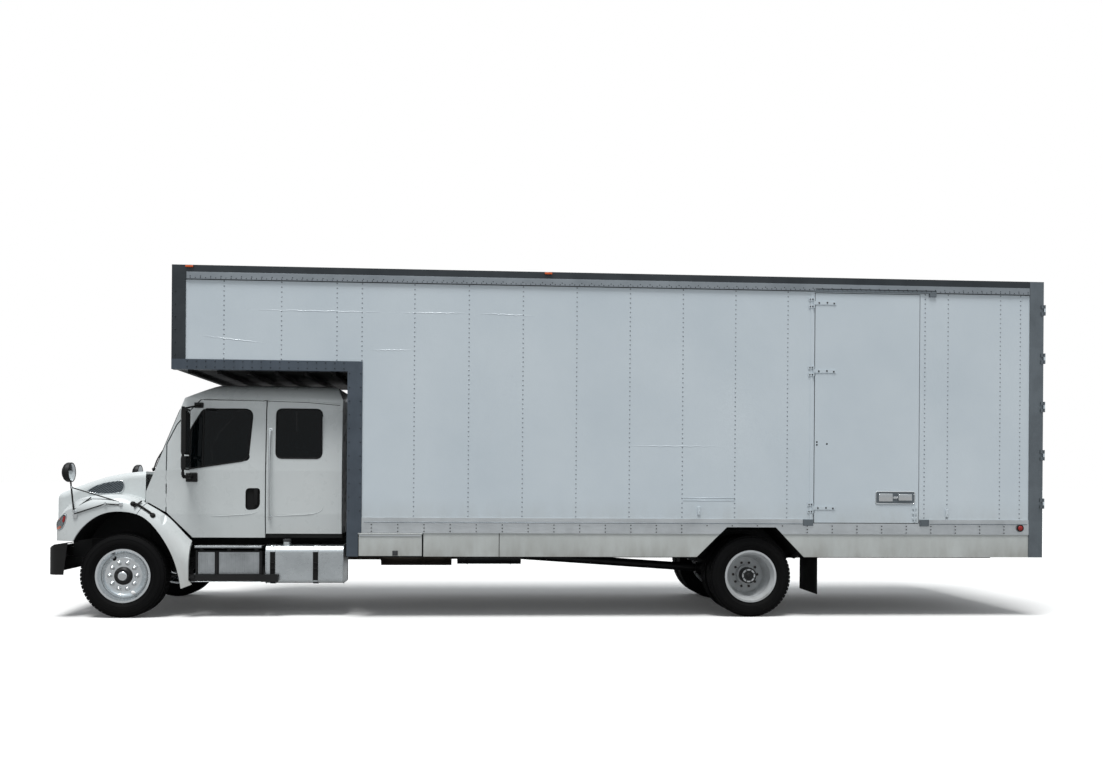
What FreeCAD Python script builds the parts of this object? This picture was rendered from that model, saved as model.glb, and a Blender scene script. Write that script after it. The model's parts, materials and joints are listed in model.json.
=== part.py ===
import FreeCAD, Part
import math
import os
from FreeCAD import Vector

os.makedirs("parts", exist_ok=True)

# Box truck with a conventional extended cab and an over-cab attic. Millimetres.
# +X points to the front, +Y to the truck's left and +Z up. The origin is on the
# ground, in the middle of the length and width. Stations are distances behind the
# nose datum, and X(station) turns one into a coordinate.

# chassis
wheelbase = 7032
front_axle_at = 785
bumper_reach = 100
nose_reach = 118
rail_half = 430          # outer face of a frame rail from the centre line
rail_depth = 255
rail_top = 875
rail_flange = 75
rail_web = 8
# wheels
tyre_d = 930
tyre_w = 255
rim_d = 572
rim_flange_d = 597
front_wheel_y = 1050     # middle of the front tyre
dual_outer_y = 1085      # middle of the outer rear tyre
dual_spacing = 312
kingpin_y = 930
# cab
cab_half = 1035          # widest, at the belt line
cab_back = 3150
cab_bottom = 880
belt_z = 1640
drip_z = 2440
cab_wall = 50
door_front = 1215
door_rear = 2295
door_gap = 13
hood_gap = 12
fender_half = 1200
hood_wall = 30
hood_pin_at = -10
hood_pin_z = 845
hood_pin_r = 18
bumper_top = 768
# van body
body_half = 1295
body_wall = 40
trim_plate = 10          # posts and rails stand this far proud of the panels
attic_front = 1330
bulkhead_at = 3240
body_rear = 11225
body_top = 3890
top_rail_h = 160
attic_rail_z = 2745
attic_rail_h = 112
sill_z = 956
sill_h = 124
sill_cap_h = 47
floor_top = 1110
floor_t = 45
skirt_bottom = 694
corner_post_w = 150
bulkhead_post_w = 164
rear_post_w = 165
side_door_front = 8515
side_door_rear = 9755
side_door_bottom = sill_z + sill_h
side_door_top = 3720
leaf_gap = 8
hinge_reach = 17         # rear hinge knuckles behind the rear frame
mirror_half = 1360
fit_gap = 0.3             # seam between pieces that rest together

tyre_r = tyre_d / 2
axle_z = tyre_r
rear_axle_at = front_axle_at + wheelbase
overall = nose_reach + body_rear + hinge_reach
nose_x = overall / 2 - nose_reach
panel_y = body_half - trim_plate
inner_y = panel_y - body_wall
sill_top = sill_z + sill_h + sill_cap_h
panel_top = body_top - top_rail_h


def X(station):
    return nose_x - station


def block(s0, s1, y0, y1, z0, z1):
    """Box between two stations."""
    return Part.makeBox(s1 - s0, y1 - y0, z1 - z0, Vector(X(s1), y0, z0))


def ring(points, place):
    """Face from corners (a, b); a longer entry curves through its pairs to the last."""
    spots = [place(*p[-2:]) for p in points]
    edges = []
    for i, p in enumerate(points):
        run = [spots[i - 1]] + [place(*pair) for pair in zip(p[::2], p[1::2])]
        if len(run) == 2:
            edges.append(Part.LineSegment(*run).toShape())
        elif len(run) == 3:
            edges.append(Part.Arc(*run).toShape())
        else:
            smooth = Part.BSplineCurve()
            smooth.interpolate(run)
            edges.append(smooth.toShape())
    return Part.Face(Part.Wire(edges))


def side_cut(points, y0, y1):
    """Outline of (station, z) pulled from y0 to y1."""
    face = ring(points, lambda s, z: Vector(X(s), y0, z))
    return face.extrude(Vector(0, y1 - y0, 0))


def plan_cut(points, z0, z1):
    """Outline of (station, y) pulled from z0 to z1."""
    face = ring(points, lambda s, y: Vector(X(s), y, z0))
    return face.extrude(Vector(0, 0, z1 - z0))


def cross_cut(points, s0, s1):
    """Outline of (y, z) pulled from station s0 to s1."""
    face = ring(points, lambda y, z: Vector(X(s0), y, z))
    return face.extrude(Vector(s0 - s1, 0, 0))


def rod(r, length, s, y, z, axis):
    """Round bar centred on (s, y, z)."""
    a = Vector(*axis)
    return Part.makeCylinder(r, length, Vector(X(s), y, z) - a * (length / 2), a)


def mirrored(shape):
    return shape.mirror(Vector(0, 0, 0), Vector(0, 1, 0))


def both(shape):
    return [shape, mirrored(shape)]


def joined(shapes):
    result = shapes[0]
    for other in shapes[1:]:
        result = result.fuse(other)
    return result.removeSplitter()


def cut(shape, *tools):
    for tool in tools:
        shape = shape.cut(tool)
    return shape


def save(name, shapes):
    if not isinstance(shapes, list):
        shapes = [shapes]
    solids = [s for shape in shapes for s in shape.Solids]
    Part.Compound(solids).exportStep(f"parts/{name}.step")
    print(f"{name}: {len(solids)} solids, {sum(s.Volume for s in solids) / 1e9:.4f} m3,"
          f" valid {all(s.isValid() for s in solids)}")


def turned(profile, s, z):
    """Section of (y, radius) turned about the cross axis at (s, z)."""
    face = ring(profile, lambda y, r: Vector(X(s), y, z + r))
    return face.revolve(Vector(X(s), 0, z), Vector(0, 1, 0), 360)


# ---------------------------------------------------------------- chassis
def frame_rails():
    """Two C-section rails from the bumper to the rear frame."""
    bottom = rail_top - rail_depth
    inner = rail_half - rail_flange
    web = rail_half - rail_web
    channel = [(rail_half, bottom), (rail_half, rail_top), (inner, rail_top),
               (inner, rail_top - rail_web), (web, rail_top - rail_web),
               (web, bottom + rail_web), (inner, bottom + rail_web), (inner, bottom)]
    return both(cross_cut(channel, rail_start, rail_end))


def crossmembers():
    """Channels between the rails, and the tube that the hood turns on."""
    web = rail_half - rail_web
    top = rail_top - rail_web
    section = [(0, top - cross_h), (0, top), (cross_w, top), (cross_w, top - cross_h),
               (cross_w - cross_t, top - cross_h), (cross_w - cross_t, top - cross_t),
               (cross_t, top - cross_t), (cross_t, top - cross_h)]
    members = [side_cut([(at + s, z) for s, z in section], -web, web)
               for at in crossmembers_at]
    return members + [rod(hood_pin_r, 2 * web, hood_pin_at, 0, hood_pin_z, (0, 1, 0))]


cross_w = 90             # crossmembers are channels open downwards
cross_h = 120
cross_t = 8
crossmembers_at = (130, 1980, 3300, 4800, 6300, 9100, 10500)
rail_start = -20         # front end of the rails
rail_end = body_rear - rear_post_w - 20
spring_y = 390           # front springs hang under the rails
spring_w = 76
rear_spring_y = 480
beam_z = 425
beam_h = 90


def front_axle():
    """Dropped I-beam with a kingpin eye at each end."""
    eye_r = 45
    half = [(0, beam_z - 45), (560, beam_z - 45), (700, 420), (kingpin_y, 420),
            (kingpin_y, 510), (700, 510), (560, beam_z + 45), (0, beam_z + 45)]
    outline = half[1:-1] + [(-y, z) for y, z in reversed(half[1:-1])]
    beam = cross_cut(outline, front_axle_at - 45, front_axle_at + 45)
    groove = [(y * 0.93, z + (14 if z < beam_z + 20 else -14)) for y, z in
              [(-560, beam_z - 45), (560, beam_z - 45), (560, beam_z + 45), (-560, beam_z + 45)]]
    beam = cut(beam, cross_cut(groove, front_axle_at - 46, front_axle_at - 14),
               cross_cut(groove, front_axle_at + 14, front_axle_at + 46))
    for side in (1, -1):
        beam = beam.fuse(rod(eye_r, 102, front_axle_at, side * kingpin_y, axle_z, (0, 0, 1)))
    for side in (1, -1):
        beam = beam.cut(rod(pin_r + pin_play, 200, front_axle_at, side * kingpin_y, axle_z, (0, 0, 1)))
    return beam.removeSplitter()


pin_r = 20
pin_play = 0.08
spindle_r = 32
arm_reach = 180          # steering arm, from the kingpin back to the tie rod
tie_z = 345


def knuckle():
    """Left steering knuckle: yoke, kingpin, spindle, backing plate and arm."""
    ear_r = 48
    parts = []
    for z0, z1 in ((517, 555), (375, 413)):
        parts.append(rod(ear_r, z1 - z0, front_axle_at, kingpin_y, (z0 + z1) / 2, (0, 0, 1)))
        parts.append(block(front_axle_at - ear_r, front_axle_at + ear_r, kingpin_y,
                           kingpin_y + 85, z0, z1))
    parts.append(block(front_axle_at - ear_r, front_axle_at + ear_r, kingpin_y + 55,
                       kingpin_y + 85, 375, 555))
    parts.append(rod(pin_r, 180, front_axle_at, kingpin_y, axle_z, (0, 0, 1)))
    parts.append(rod(spindle_r, 115, front_axle_at, kingpin_y + 85 + 55, axle_z, (0, 1, 0)))
    parts.append(rod(150, 8, front_axle_at, kingpin_y + 70, axle_z, (0, 1, 0)))
    arm = block(front_axle_at, front_axle_at + arm_reach, kingpin_y - 22, kingpin_y + 22,
                375, 398)
    parts.append(arm)
    parts.append(rod(22, 23, front_axle_at + arm_reach, kingpin_y, 386.5, (0, 0, 1)))
    return joined(parts)


def tie_rod():
    """Cross rod between the steering arms, an eye under each arm's end."""
    s = front_axle_at + arm_reach
    tube = rod(16, 2 * kingpin_y - 20, s, 0, tie_z, (0, 1, 0))
    eyes = [rod(24, 40, s, side * kingpin_y, tie_z, (0, 0, 1)) for side in (1, -1)]
    stems = [rod(9, 10, s, side * kingpin_y, tie_z + 24.5, (0, 0, 1)) for side in (1, -1)]
    return joined([tube] + eyes + stems)


def leaf_pack(at, y, z, half_length, leaves, leaf_t):
    """Arched pack of leaves, shorter towards the bottom, with an eye at each end."""
    parts = []
    for i in range(leaves):
        reach = half_length * (1 - 0.16 * i)
        lift = 60 * (reach / half_length) ** 2
        top = z - i * leaf_t
        outline = [(at - reach, top + lift), (at, top, at + reach, top + lift),
                   (at + reach, top + lift - leaf_t), (at, top - leaf_t, at - reach,
                                                       top + lift - leaf_t)]
        parts.append(side_cut(outline, y - spring_w / 2, y + spring_w / 2))
    for end in (-1, 1):
        eye = rod(26, spring_w, at + end * (half_length + 14), y, z + 52, (0, 1, 0))
        parts.append(eye)
    return joined(parts)


def springs():
    """Front and rear leaf packs with their axle clamps and frame hangers."""
    bottom = rail_top - rail_depth
    packs = []
    for at, y, half_length, leaves, z in (
            (front_axle_at, spring_y, 640, 3, beam_z + 45 + 48),
            (rear_axle_at, rear_spring_y, 700, 4, axle_z + 62 + 64)):
        pack = [leaf_pack(at, y, z, half_length, leaves, 16)]
        foot = beam_z + 45 + fit_gap if at == front_axle_at else axle_z + 60 + fit_gap
        pack.append(block(at - 60, at + 60, y - 45, y + 45, foot, z - leaves * 16 + 4))
        pack.append(block(at - 60, at + 60, y - 45, y + 45, z - 2, z + 22))
        for end in (-1, 1):
            s = at + end * (half_length + 14)
            if at == front_axle_at:
                pack.append(block(s - 35, s + 35, y - 39, y + 39, z + 60, bottom - fit_gap))
            else:
                pack.append(block(s - 35, s + 35, rail_half + fit_gap, y + 39, z + 60, rail_top - 60))
        packs += both(joined(pack))
    return packs


def rear_axle():
    """Banjo housing, tubes and the spindles that run in the hubs."""
    tube_r = 60
    parts = [rod(tube_r, 2 * 1000, rear_axle_at, 0, axle_z, (0, 1, 0)),
             rod(205, 150, rear_axle_at, 0, axle_z, (0, 1, 0))]
    nose = Part.makeCone(150, 70, 230, Vector(X(rear_axle_at - 120), 0, axle_z),
                         Vector(1, 0, 0))
    return joined(parts + [nose])


gearbox_front = 1010
gearbox_rear = 1750
gearbox_z = 640
shaft_r = 50


def drive_shafts():
    """Two shafts with their joints, and the bearing that hangs from a crossmember."""
    flange_at = rear_axle_at - 120 - 230 - 25.3
    mid = crossmembers_at[3] + cross_w / 2
    bearing_top = rail_top - rail_web - cross_t - fit_gap
    parts = []
    path = [(gearbox_rear + fit_gap, gearbox_z), (mid, gearbox_z), (flange_at, axle_z)]
    for (s0, z0), (s1, z1) in zip(path, path[1:]):
        run = Vector(X(s1) - X(s0), 0, z1 - z0)
        parts.append(Part.makeCylinder(shaft_r, run.Length, Vector(X(s0), 0, z0), run))
    for s, z in ((path[0][0] + 25, gearbox_z), path[1], (flange_at, axle_z)):
        parts.append(rod(shaft_r + 22, 50, s, 0, z, (1, 0, 0)))
    hanger = block(mid - 30, mid + 30, -90, 90, gearbox_z, bearing_top)
    return joined(parts + [hanger])


def engine():
    """Plain engine block on its mounts, the radiator ahead of it and the gearbox behind."""
    web = rail_half - rail_web
    rear = gearbox_front - fit_gap
    core = side_cut([(300, 560), (rear, 560), (rear, 1110), (835, 1110), (835, 1330), (300, 1330)],
                    -290, 290)
    arms = block(600, 720, -web + fit_gap, web - fit_gap, 650, 700)
    radiator = block(140, 220, -370, 370, rail_top - rail_web + 8.3, 1290)
    gearbox = Part.makeCone(220, 150, gearbox_rear - gearbox_front,
                            Vector(X(gearbox_front), 0, gearbox_z), Vector(-1, 0, 0))
    return [joined([core, arms]), radiator, gearbox]


def exhaust():
    """Muffler under the right rail and a tail pipe that leaves behind the cab."""
    y = -640
    pipe_y = -535
    can = rod(125, 900, 3900, y, 560, (1, 0, 0))
    tail = rod(45, 700, 4690, y, 560, (1, 0, 0))
    front = rod(45, 2210, 2355, pipe_y, 560, (1, 0, 0))
    hanger = [block(s - 20, s + 20, y - 30, -rail_half - fit_gap, 670, 720) for s in (3600, 4200)]
    front_hanger = block(1400, 1440, pipe_y - 20, -rail_half - fit_gap, 600, 640)
    return joined([can, tail, front, front_hanger] + hanger)


# ---------------------------------------------------------------- wheels
rim_r = rim_d / 2
flange_r = rim_flange_d / 2
bead_half = 103
rim_half = 115


def tyre(y):
    """Section of a tyre seated on its rim, as corners of (y, radius)."""
    half = [(bead_half - 1, rim_r + 0.5), (bead_half - 1, flange_r + 3),
            (tyre_w / 2, tyre_r * 0.8), (tyre_w / 2 - 19, tyre_r - 24),
            (tyre_w / 2 - 34, tyre_r - 5), (tyre_w / 4, tyre_r)]
    return [(y + a, r) for a, r in half] + [(y - a, r) for a, r in reversed(half)]


def barrel(y, side):
    """Rim section with the disc's foot on the side given; corners of (y, radius)."""
    outer = [(-rim_half, flange_r), (-bead_half, flange_r), (-bead_half, rim_r),
             (-45, rim_r - 26), (45, rim_r - 26), (bead_half, rim_r),
             (bead_half, flange_r), (rim_half, flange_r)]
    inner = [(rim_half, rim_r - 10), (50, rim_r - 38), (-50, rim_r - 38),
             (-rim_half, rim_r - 10)]
    return [(y + side * a, r) for a, r in outer + inner]


def wheel_disc(y_rim, y_face, side):
    """Dished disc from the rim's well to the bolting face."""
    t = 14
    r0 = rim_r - 37
    return [(y_rim, r0), (y_face + side * 4, 200), (y_face, 175), (y_face, 95),
            (y_face - side * t, 95), (y_face - side * t, 180),
            (y_face - side * (t - 4), 208), (y_rim - side * 24, r0)]


def hand_holes(s, y):
    """Two opposite holes through the disc."""
    reach = 213
    tools = []
    for turn in (62, 242):
        a = math.radians(turn)
        tools.append(rod(23, 160, s + reach * math.cos(a) * -1, y,
                         axle_z + reach * math.sin(a), (0, 1, 0)))
    return tools


def front_wheel():
    """Disc wheel with its hub and brake drum, as one turning piece."""
    y = front_wheel_y
    hub = [(985, 168), (985, 182), (1075, 182), (1075, 108), (y + 84, 108), (y + 84, 80),
           (y + 122, 74), (y + 122, 0), (y + 88, 0), (y + 88, spindle_r + 0.1),
           (1040, spindle_r + 0.1), (1040, 60), (1064, 70), (1064, 168)]
    parts = [turned(barrel(y, 1), front_axle_at, axle_z),
             turned(wheel_disc(y + 42, y + 90, 1), front_axle_at, axle_z),
             turned(hub, front_axle_at, axle_z)]
    return cut(joined(parts), *hand_holes(front_axle_at, y + 80))


def rear_wheels():
    """Inner and outer disc wheels bolted to one hub and drum."""
    middle = dual_outer_y - dual_spacing / 2
    s = rear_axle_at
    hub = [(740, 185), (740, 198), (866, 198), (866, 112), (1002, 112), (1002, 84),
           (1108, 76), (1108, 0), (1006, 0), (1006, 60.1), (850, 60.1), (850, 185)]
    parts = [turned(barrel(dual_outer_y, 1), s, axle_z),
             turned(barrel(dual_outer_y - dual_spacing, 1), s, axle_z),
             turned(wheel_disc(dual_outer_y - 42, middle, -1), s, axle_z),
             turned(wheel_disc(dual_outer_y - dual_spacing + 42, middle, 1), s, axle_z),
             turned(hub, s, axle_z)]
    return cut(joined(parts), *hand_holes(s, middle))


# ---------------------------------------------------------------- front end
hood_side = 893           # half width over the hood's side panels, low down
hood_side_top = 870       # and high up
shoulder_r = 80           # rounding of the hood's top edges
crest_r = (105, 220)      # rounding of the fender's outer edge, front and rear
open_by = 80              # inner forms run out this far behind and below
hood_top = [(-300, 1264), (-118, 1333), (39, 1392), (194, 1454), (397, 1525), (516, 1562),
            (636, 1588), (756, 1608), (853, 1618), (1100, 1624)]
nose_half = [(-107, -300), (-nose_reach, 0), (-107, 300), (-75, 600), (-30, 870), (12, 1000),
             (45, fender_half - 125), (120, fender_half - 55), (250, fender_half - 10),
             (430, fender_half), (600, fender_half)]
fender_crest = [(-80, 930), (20, 1040), (94, 1130), (140, 1202), (198, 1262), (280, 1308),
                (362, 1336), (456, 1352), (550, 1362), (644, 1368), (730, 1367), (809, 1354),
                (904, 1322), (1022, 1258), (1240, 1122), (1400, 962), (1500, 862)]
fender_foot = [(1500, 420), (1535, 372), (1430, 330), (-300, 330)]
# the wheel arch about the front axle, in tyre radii
arch_shape = [(-1.14, 0.82), (-0.83, 1.24), (-0.41, 1.49), (0, 1.53), (0.4, 1.44), (0.84, 1.035),
              (1.17, 0.46), (1.35, -0.2)]
arch = [(front_axle_at + a * tyre_r, axle_z + b * tyre_r) for a, b in arch_shape]


def drawn_in(points, t):
    """Points of an open curve, each moved by t to the right of its run."""
    moved = []
    last = len(points) - 1
    for i, (a, b) in enumerate(points):
        before, after = points[max(i - 1, 0)], points[min(i + 1, last)]
        da, db = after[0] - before[0], after[1] - before[1]
        run = math.hypot(da, db)
        moved.append((a + t * db / run, b - t * da / run))
    return moved


def curve(points):
    """One smooth edge through all the points, as an entry for ring()."""
    return tuple(value for point in points for value in point)


def rounded(shape, radii, chosen):
    """Fillet, even or growing along its run, on the edges whose bounding boxes are chosen."""
    return shape.makeFillet(*radii, [edge for edge in shape.Edges if chosen(edge.BoundBox)])


def hood_form(t):
    """Solid of the hood and fenders, drawn in by t on the skinned sides."""
    out = 0 if t == 0 else open_by
    half = drawn_in(nose_half, t)[1:-1]
    w = half[-1][1]
    plan = plan_cut([(1800, w), (1800, -w), (half[-1][0], -w),
                     curve([(s, -y) for s, y in half[-2:0:-1]] + half)], 100, 1700)
    top = drawn_in(hood_top, t)
    rear = top[-1][0] + out
    body = side_cut([(rear, 300 - out), (-300, 300 - out), top[0], curve(top[1:]),
                     (rear, top[-1][1])][:4 if out == 0 else 5], -fender_half, fender_half)
    lean = (hood_side - hood_side_top) / (1700 - 1285)
    low, high = hood_side + lean * 1000 - t, hood_side_top - t
    body = body.common(cross_cut([(-low, 285), (low, 285), (high, 1700), (-high, 1700)],
                                 -300, 1200)).common(plan)
    body = rounded(body, [shoulder_r + 20 - t], lambda b: b.ZLength > 900 and b.XMin > X(60))
    body = rounded(body, [shoulder_r - t], lambda b: b.ZMin > 1100 and b.XLength > 5)
    crest = drawn_in(fender_crest, t)
    foot = fender_foot
    if out:
        end = crest[-1]
        foot = [(end[0] + out, end[1] - out), (end[0] + out, 330 - out), (-300, 330 - out)]
    fenders = side_cut([(-300, 930), crest[0], curve(crest[1:])] + foot, -w, w)
    fenders = rounded(fenders, [r - t for r in crest_r], lambda b: b.YLength < 1 and b.ZMax > 1100)
    form = body.fuse(fenders.common(plan))
    return cut(form, *door_sweep(t))


def door_sweep(t):
    """Room for the swinging doors: above a cone about the hinge line, and a ramp ahead of it."""
    y0, y1 = door_hinge_y, fender_half + 60
    top = 1160 - t
    reach = 460
    run = 260
    cone = Part.makeCone(0, reach, reach, Vector(X(door_hinge_at), y0, top), Vector(0, 0, -1))
    behind = block(door_hinge_at, 1800, y0, y1, top - reach, 1500).cut(cone)
    low = [Vector(X(door_hinge_at - ds), y, top + 1.5 * ds - (y - y0))
           for ds, y in ((run, y0), (0, y0), (0, y1), (run, y1))]
    ahead = Part.Face(Part.makePolygon(low + [low[0]])).extrude(Vector(0, 0, 900))
    return [behind, mirrored(behind), ahead, mirrored(ahead)]


def hood_clearance():
    """What the cab and the tyre need: the rear limit, the seam, the wheel arch and the bumper."""
    edge = door_hinge_y + 17
    rear = plan_cut([(989 - hood_gap, -edge), (857 - hood_gap, 0, 989 - hood_gap, edge),
                     (1800, edge), (1800, -edge)], 200, 1800)
    seam = side_cut([(1020 - hood_gap, 1800), (1020 - hood_gap, 1262), (1207, 1151),
                     (1700, 658), (1700, 1800)], -edge - 12, edge + 12)
    well = side_cut([(arch[0][0], 200), arch[0], curve(arch[1:]), (1440, 200)], -1400, 1400)
    corner = block(-300, arch[0][0], -1400, 1400, 0, fender_bottom)
    nose = block(-300, 10, -900, 900, 0, nose_bottom)
    return [rear, seam, well, corner, nose]


fender_bottom = 850
nose_bottom = 880
lamp_wall = 70
lamp_inner_y = 700
lamp_play = 0.6
lamp_outline = [(-300, 965), (56, 965), (126, 979, 166, 1039, 187, 1118), (176, 1147, 140, 1146),
                (78, 1096), (20, 1046), (-300, 1040)]
grille_half = 560
grille_bottom = 925
grille_top = 1250
seam_at = 925             # the hood's fenders end here, with a sloping top to the seam
fender_seam = [(seam_at, 200), (seam_at, 1130), (1012, 1290), (1100, 1420), (1700, 1420),
               (1700, 200)]
fender_room = 880         # from the centre line to where the fenders begin


def lamp_zone():
    """Zone of the left headlamp, seen from the side."""
    return side_cut(lamp_outline, lamp_inner_y, 1300)


def hood(skin):
    """One moulded shell of hood and front fenders with its hinge arms."""
    seam = side_cut(fender_seam, fender_room, 1300)
    shell = cut(skin, *hood_clearance(), seam, mirrored(seam))
    window = block(-300, 300, -grille_half, grille_half, grille_bottom, grille_top)
    lamps = lamp_zone()
    shell = cut(shell, window, lamps, mirrored(lamps))
    arms = []
    for side in (1, -1):
        y0 = side * 315 - 15
        arm = side_cut([(-86, 884), (-86, 922), (-55, 922), (14, 866), (14, 830), (-34, 830),
                        (-60, 884)], y0, y0 + 30)
        eye = rod(34, 30, hood_pin_at, side * 315, hood_pin_z, (0, 1, 0))
        arms.append(arm.fuse(eye))
    shell = joined([shell] + arms)
    return shell.cut(rod(hood_pin_r + 0.08, 800, hood_pin_at, 0, hood_pin_z, (0, 1, 0)))


def quarter_fenders(skin):
    """Fixed rear parts of the fenders, behind the hood's seam."""
    zone = side_cut([(s + seam_gap, z) for s, z in fender_seam], fender_room + 10, 1300)
    return both(cut(skin.common(zone), *hood_clearance()))


seam_gap = 8
liner_t = 4
liner_y = 620             # inner walls of the front arches; the fixed parts stand 10 mm further in
liner_low = 620
liner_split = hood_pin_z + 5


def arch_liners():
    """Sheets over the front wheels with walls at their inner ends: hood halves, fixed halves."""
    outer, inner = drawn_in(arch, -1 - liner_t), drawn_in(arch, -1)
    inside = hood_form(hood_wall + fit_gap)
    halves = []
    for y, s0, s1, wall_s0, wall_z0 in (
            (liner_y, 0, seam_at, 0, liner_split),
            (liner_y - 10, seam_at + seam_gap, 1600, seam_at - 20, liner_low)):
        hoop = side_cut([outer[0], curve(outer[1:]), inner[-1], curve(inner[-2::-1])], y, fender_half)
        hoop = hoop.common(block(s0, s1, 0, fender_half, 0, 1400))
        wall = side_cut([inner[0], curve(inner[1:])], y, y + liner_t)
        wall = wall.common(block(wall_s0, max(s1, wall_s0), 0, fender_half, wall_z0, 1400))
        halves.append(joined([hoop, wall]).common(inside))
    ledge = side_cut([(arch[0][0], liner_low), (arch[0][0], liner_split - 10),
                      (seam_at, liner_split - 10), (seam_at, liner_low)],
                     liner_y - 10, liner_y - 10 + liner_t)
    return both(halves[0]), both(joined([halves[1], ledge]))


def grille(skin):
    """Curved grille with a border and level bars."""
    play = 0.5
    piece = skin.common(block(-300, 300, -grille_half + play, grille_half - play,
                              grille_bottom + play, grille_top - play))
    bars = 6
    border = 34
    bar_t = 20
    room = grille_top - grille_bottom - 2 * play - 2 * border
    pitch = (room + bar_t) / bars
    for i in range(bars):
        z = grille_bottom + play + border + i * pitch
        for y0, y1 in ((-grille_half + 40, -12), (12, grille_half - 40)):
            piece = piece.cut(block(-300, 300, y0, y1, z, z + pitch - bar_t))
    return piece


def headlamps(solid):
    """Wrap-round lamps that fill their openings in the fender fronts."""
    lamp = solid.cut(hood_form(lamp_wall)).common(lamp_zone())
    for dx, dy, dz in ((1, 0, 0), (0, 1, 0), (0, 0, 1), (0, 0, -1)):
        lamp = lamp.common(lamp_zone().translate(Vector(dx, dy, dz) * lamp_play))
    return both(lamp)


def hood_mirrors(solid):
    """Round mirror on a braced pole over each front fender."""
    head = (212, 1160, 1606)
    brace_y = fender_half + 7
    foot = (270, brace_y - 3, 1180)
    parts = [stay(foot, (head[0], head[1], head[2] - 40), 9),
             stay((780, 1170, 1272), (232, 1172, 1440), 6.5),
             stay((769, brace_y - 11, 1251), (606, brace_y, 1262), 6.5),
             stay((606, brace_y, 1262), (276, brace_y, 1150), 6.5),
             stay((440, 1165, 1330), (272, 1190, 1200), 6.5)]
    dish = rod(108, 36, *head, (1, 0, 0))
    return both(joined(parts + [dish]).cut(solid))


def stay(a, b, r):
    """Round bar between two points (station, y, z)."""
    start = Vector(X(a[0]), a[1], a[2])
    run = Vector(X(b[0]), b[1], b[2]) - start
    return Part.makeCylinder(r, run.Length, start, run)


bumper_end = 205
bumper_bottom = 480


def bumper_form(t):
    """Solid of the bumper, drawn in by t; the inner form runs out behind and below."""
    out = 0 if t == 0 else open_by
    w = fender_half
    plan = [(bumper_end + out, w - t), (bumper_end + out, -w + t), (120 + t, -w + t),
            (10 + t, -w + 50, -18 + t, -1000), (-bumper_reach + t, 0, -18 + t, 1000),
            (10 + t, w - 50, 120 + t, w - t)]
    side = [(10 + t, bumper_bottom - out), (-36 + t, bumper_bottom + 14, -56 + t, bumper_bottom + 60),
            (-bumper_reach + t, 700), (-bumper_reach + t, bumper_top - t), (-20, bumper_top - t),
            (56, 812 - t), (bumper_end, 834 - t), (bumper_end + out, 834 - t),
            (bumper_end - 45 + 2 * out, bumper_bottom - out)]
    side = side[:7] + side[8:] if out == 0 else side
    return plan_cut(plan, 300, 1000).common(side_cut(side, -w, w))


def bumper():
    """Pressed bumper, open behind and below, on two brackets at the rail ends."""
    wall = 8
    shell = bumper_form(0).cut(bumper_form(wall))
    top_hole = block(-60, 400, -900, 900, bumper_top - 60, 1000)
    shell = shell.cut(top_hole)
    brackets = []
    for side in (1, -1):
        y = side * (rail_half - 38)
        brackets.append(block(-86, rail_start - fit_gap, y - 38, y + 38, 640, 740))
    return joined([shell] + brackets)


# ---------------------------------------------------------------- cab
screen_bend = 3600       # radius of the windshield across the cab
screen_foot = (939, 1681)
screen_dir = (0.3716, 0.9284)


def cab_form(t):
    """Solid of the cab drawn in by t."""
    side = [(1497 + t, cab_bottom + t), (cab_back - t, cab_bottom + t), (cab_back - t, 2450 - t / 2),
            (3085 - t, 2590 - t), (2700, 2650 - t, 2213, 2662 - t),
            (1980, 2655 - t, 1750 + t / 3, 2612 - t), (1180 + t, 2362 - t), (860 + t, 2000),
            (860 + t, 1600 - t), (860 + t, 1272), (1020 + t, 1272), (1212 + t, 1165)]
    form = side_cut(side, -1100, 1100)
    w = cab_half - t
    cross = [(-w + 20, cab_bottom), (w - 20, cab_bottom), (w, 1150), (w, belt_z),
             (w - 45, 2330), (w - 72, drip_z), (w - 150, 2560 - t / 2, w - 330, 2610 - t),
             (0, 2662 - t, -w + 330, 2610 - t), (-w + 150, 2560 - t / 2, -w + 72, drip_z),
             (-w + 45, 2330), (-w, belt_z), (-w, 1150)]
    form = form.common(cross_cut(cross, 700, 3400))
    plan = [(3400, 1100), (3400, -1100), (1006 + t, -1100), (857 + t, 0, 1006 + t, 1100)]
    form = form.common(plan_cut(plan, 700, 2800))
    ds, dz = screen_dir
    r = screen_bend - t
    centre = Vector(X(screen_foot[0] + screen_bend * dz), 0, screen_foot[1] - screen_bend * ds)
    along = Vector(-ds, 0, dz)
    drum = Part.makeCylinder(r, 9000, centre - along * 4500, along)
    return form.common(drum)


door_line = [(door_front, 1165), (door_front, 1930), (1320, 2150), (1575, 2435),
             (door_rear, 2435), (door_rear, 884), (1497, 884)]
door_pane = [(1462, 1655), (1462, 2094), (1600, 2327), (2045, 2332),
             (2125, 2318, 2150, 2235), (2116, 1820), (2110, 1762, 2055, 1750)]
rear_pane = [(2494, 1782), (2430, 1800, 2414, 1862), (2414, 2258), (2430, 2322, 2494, 2338),
             (2843, 2338), (2907, 2322, 2923, 2258), (2923, 1862), (2907, 1800, 2843, 1782)]
screen_pane = [(-800, 1668), (800, 1668), (850, 1715), (788, 2300), (740, 2338),
               (-740, 2338), (-788, 2300), (-850, 1715)]
glass_t = 8


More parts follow.
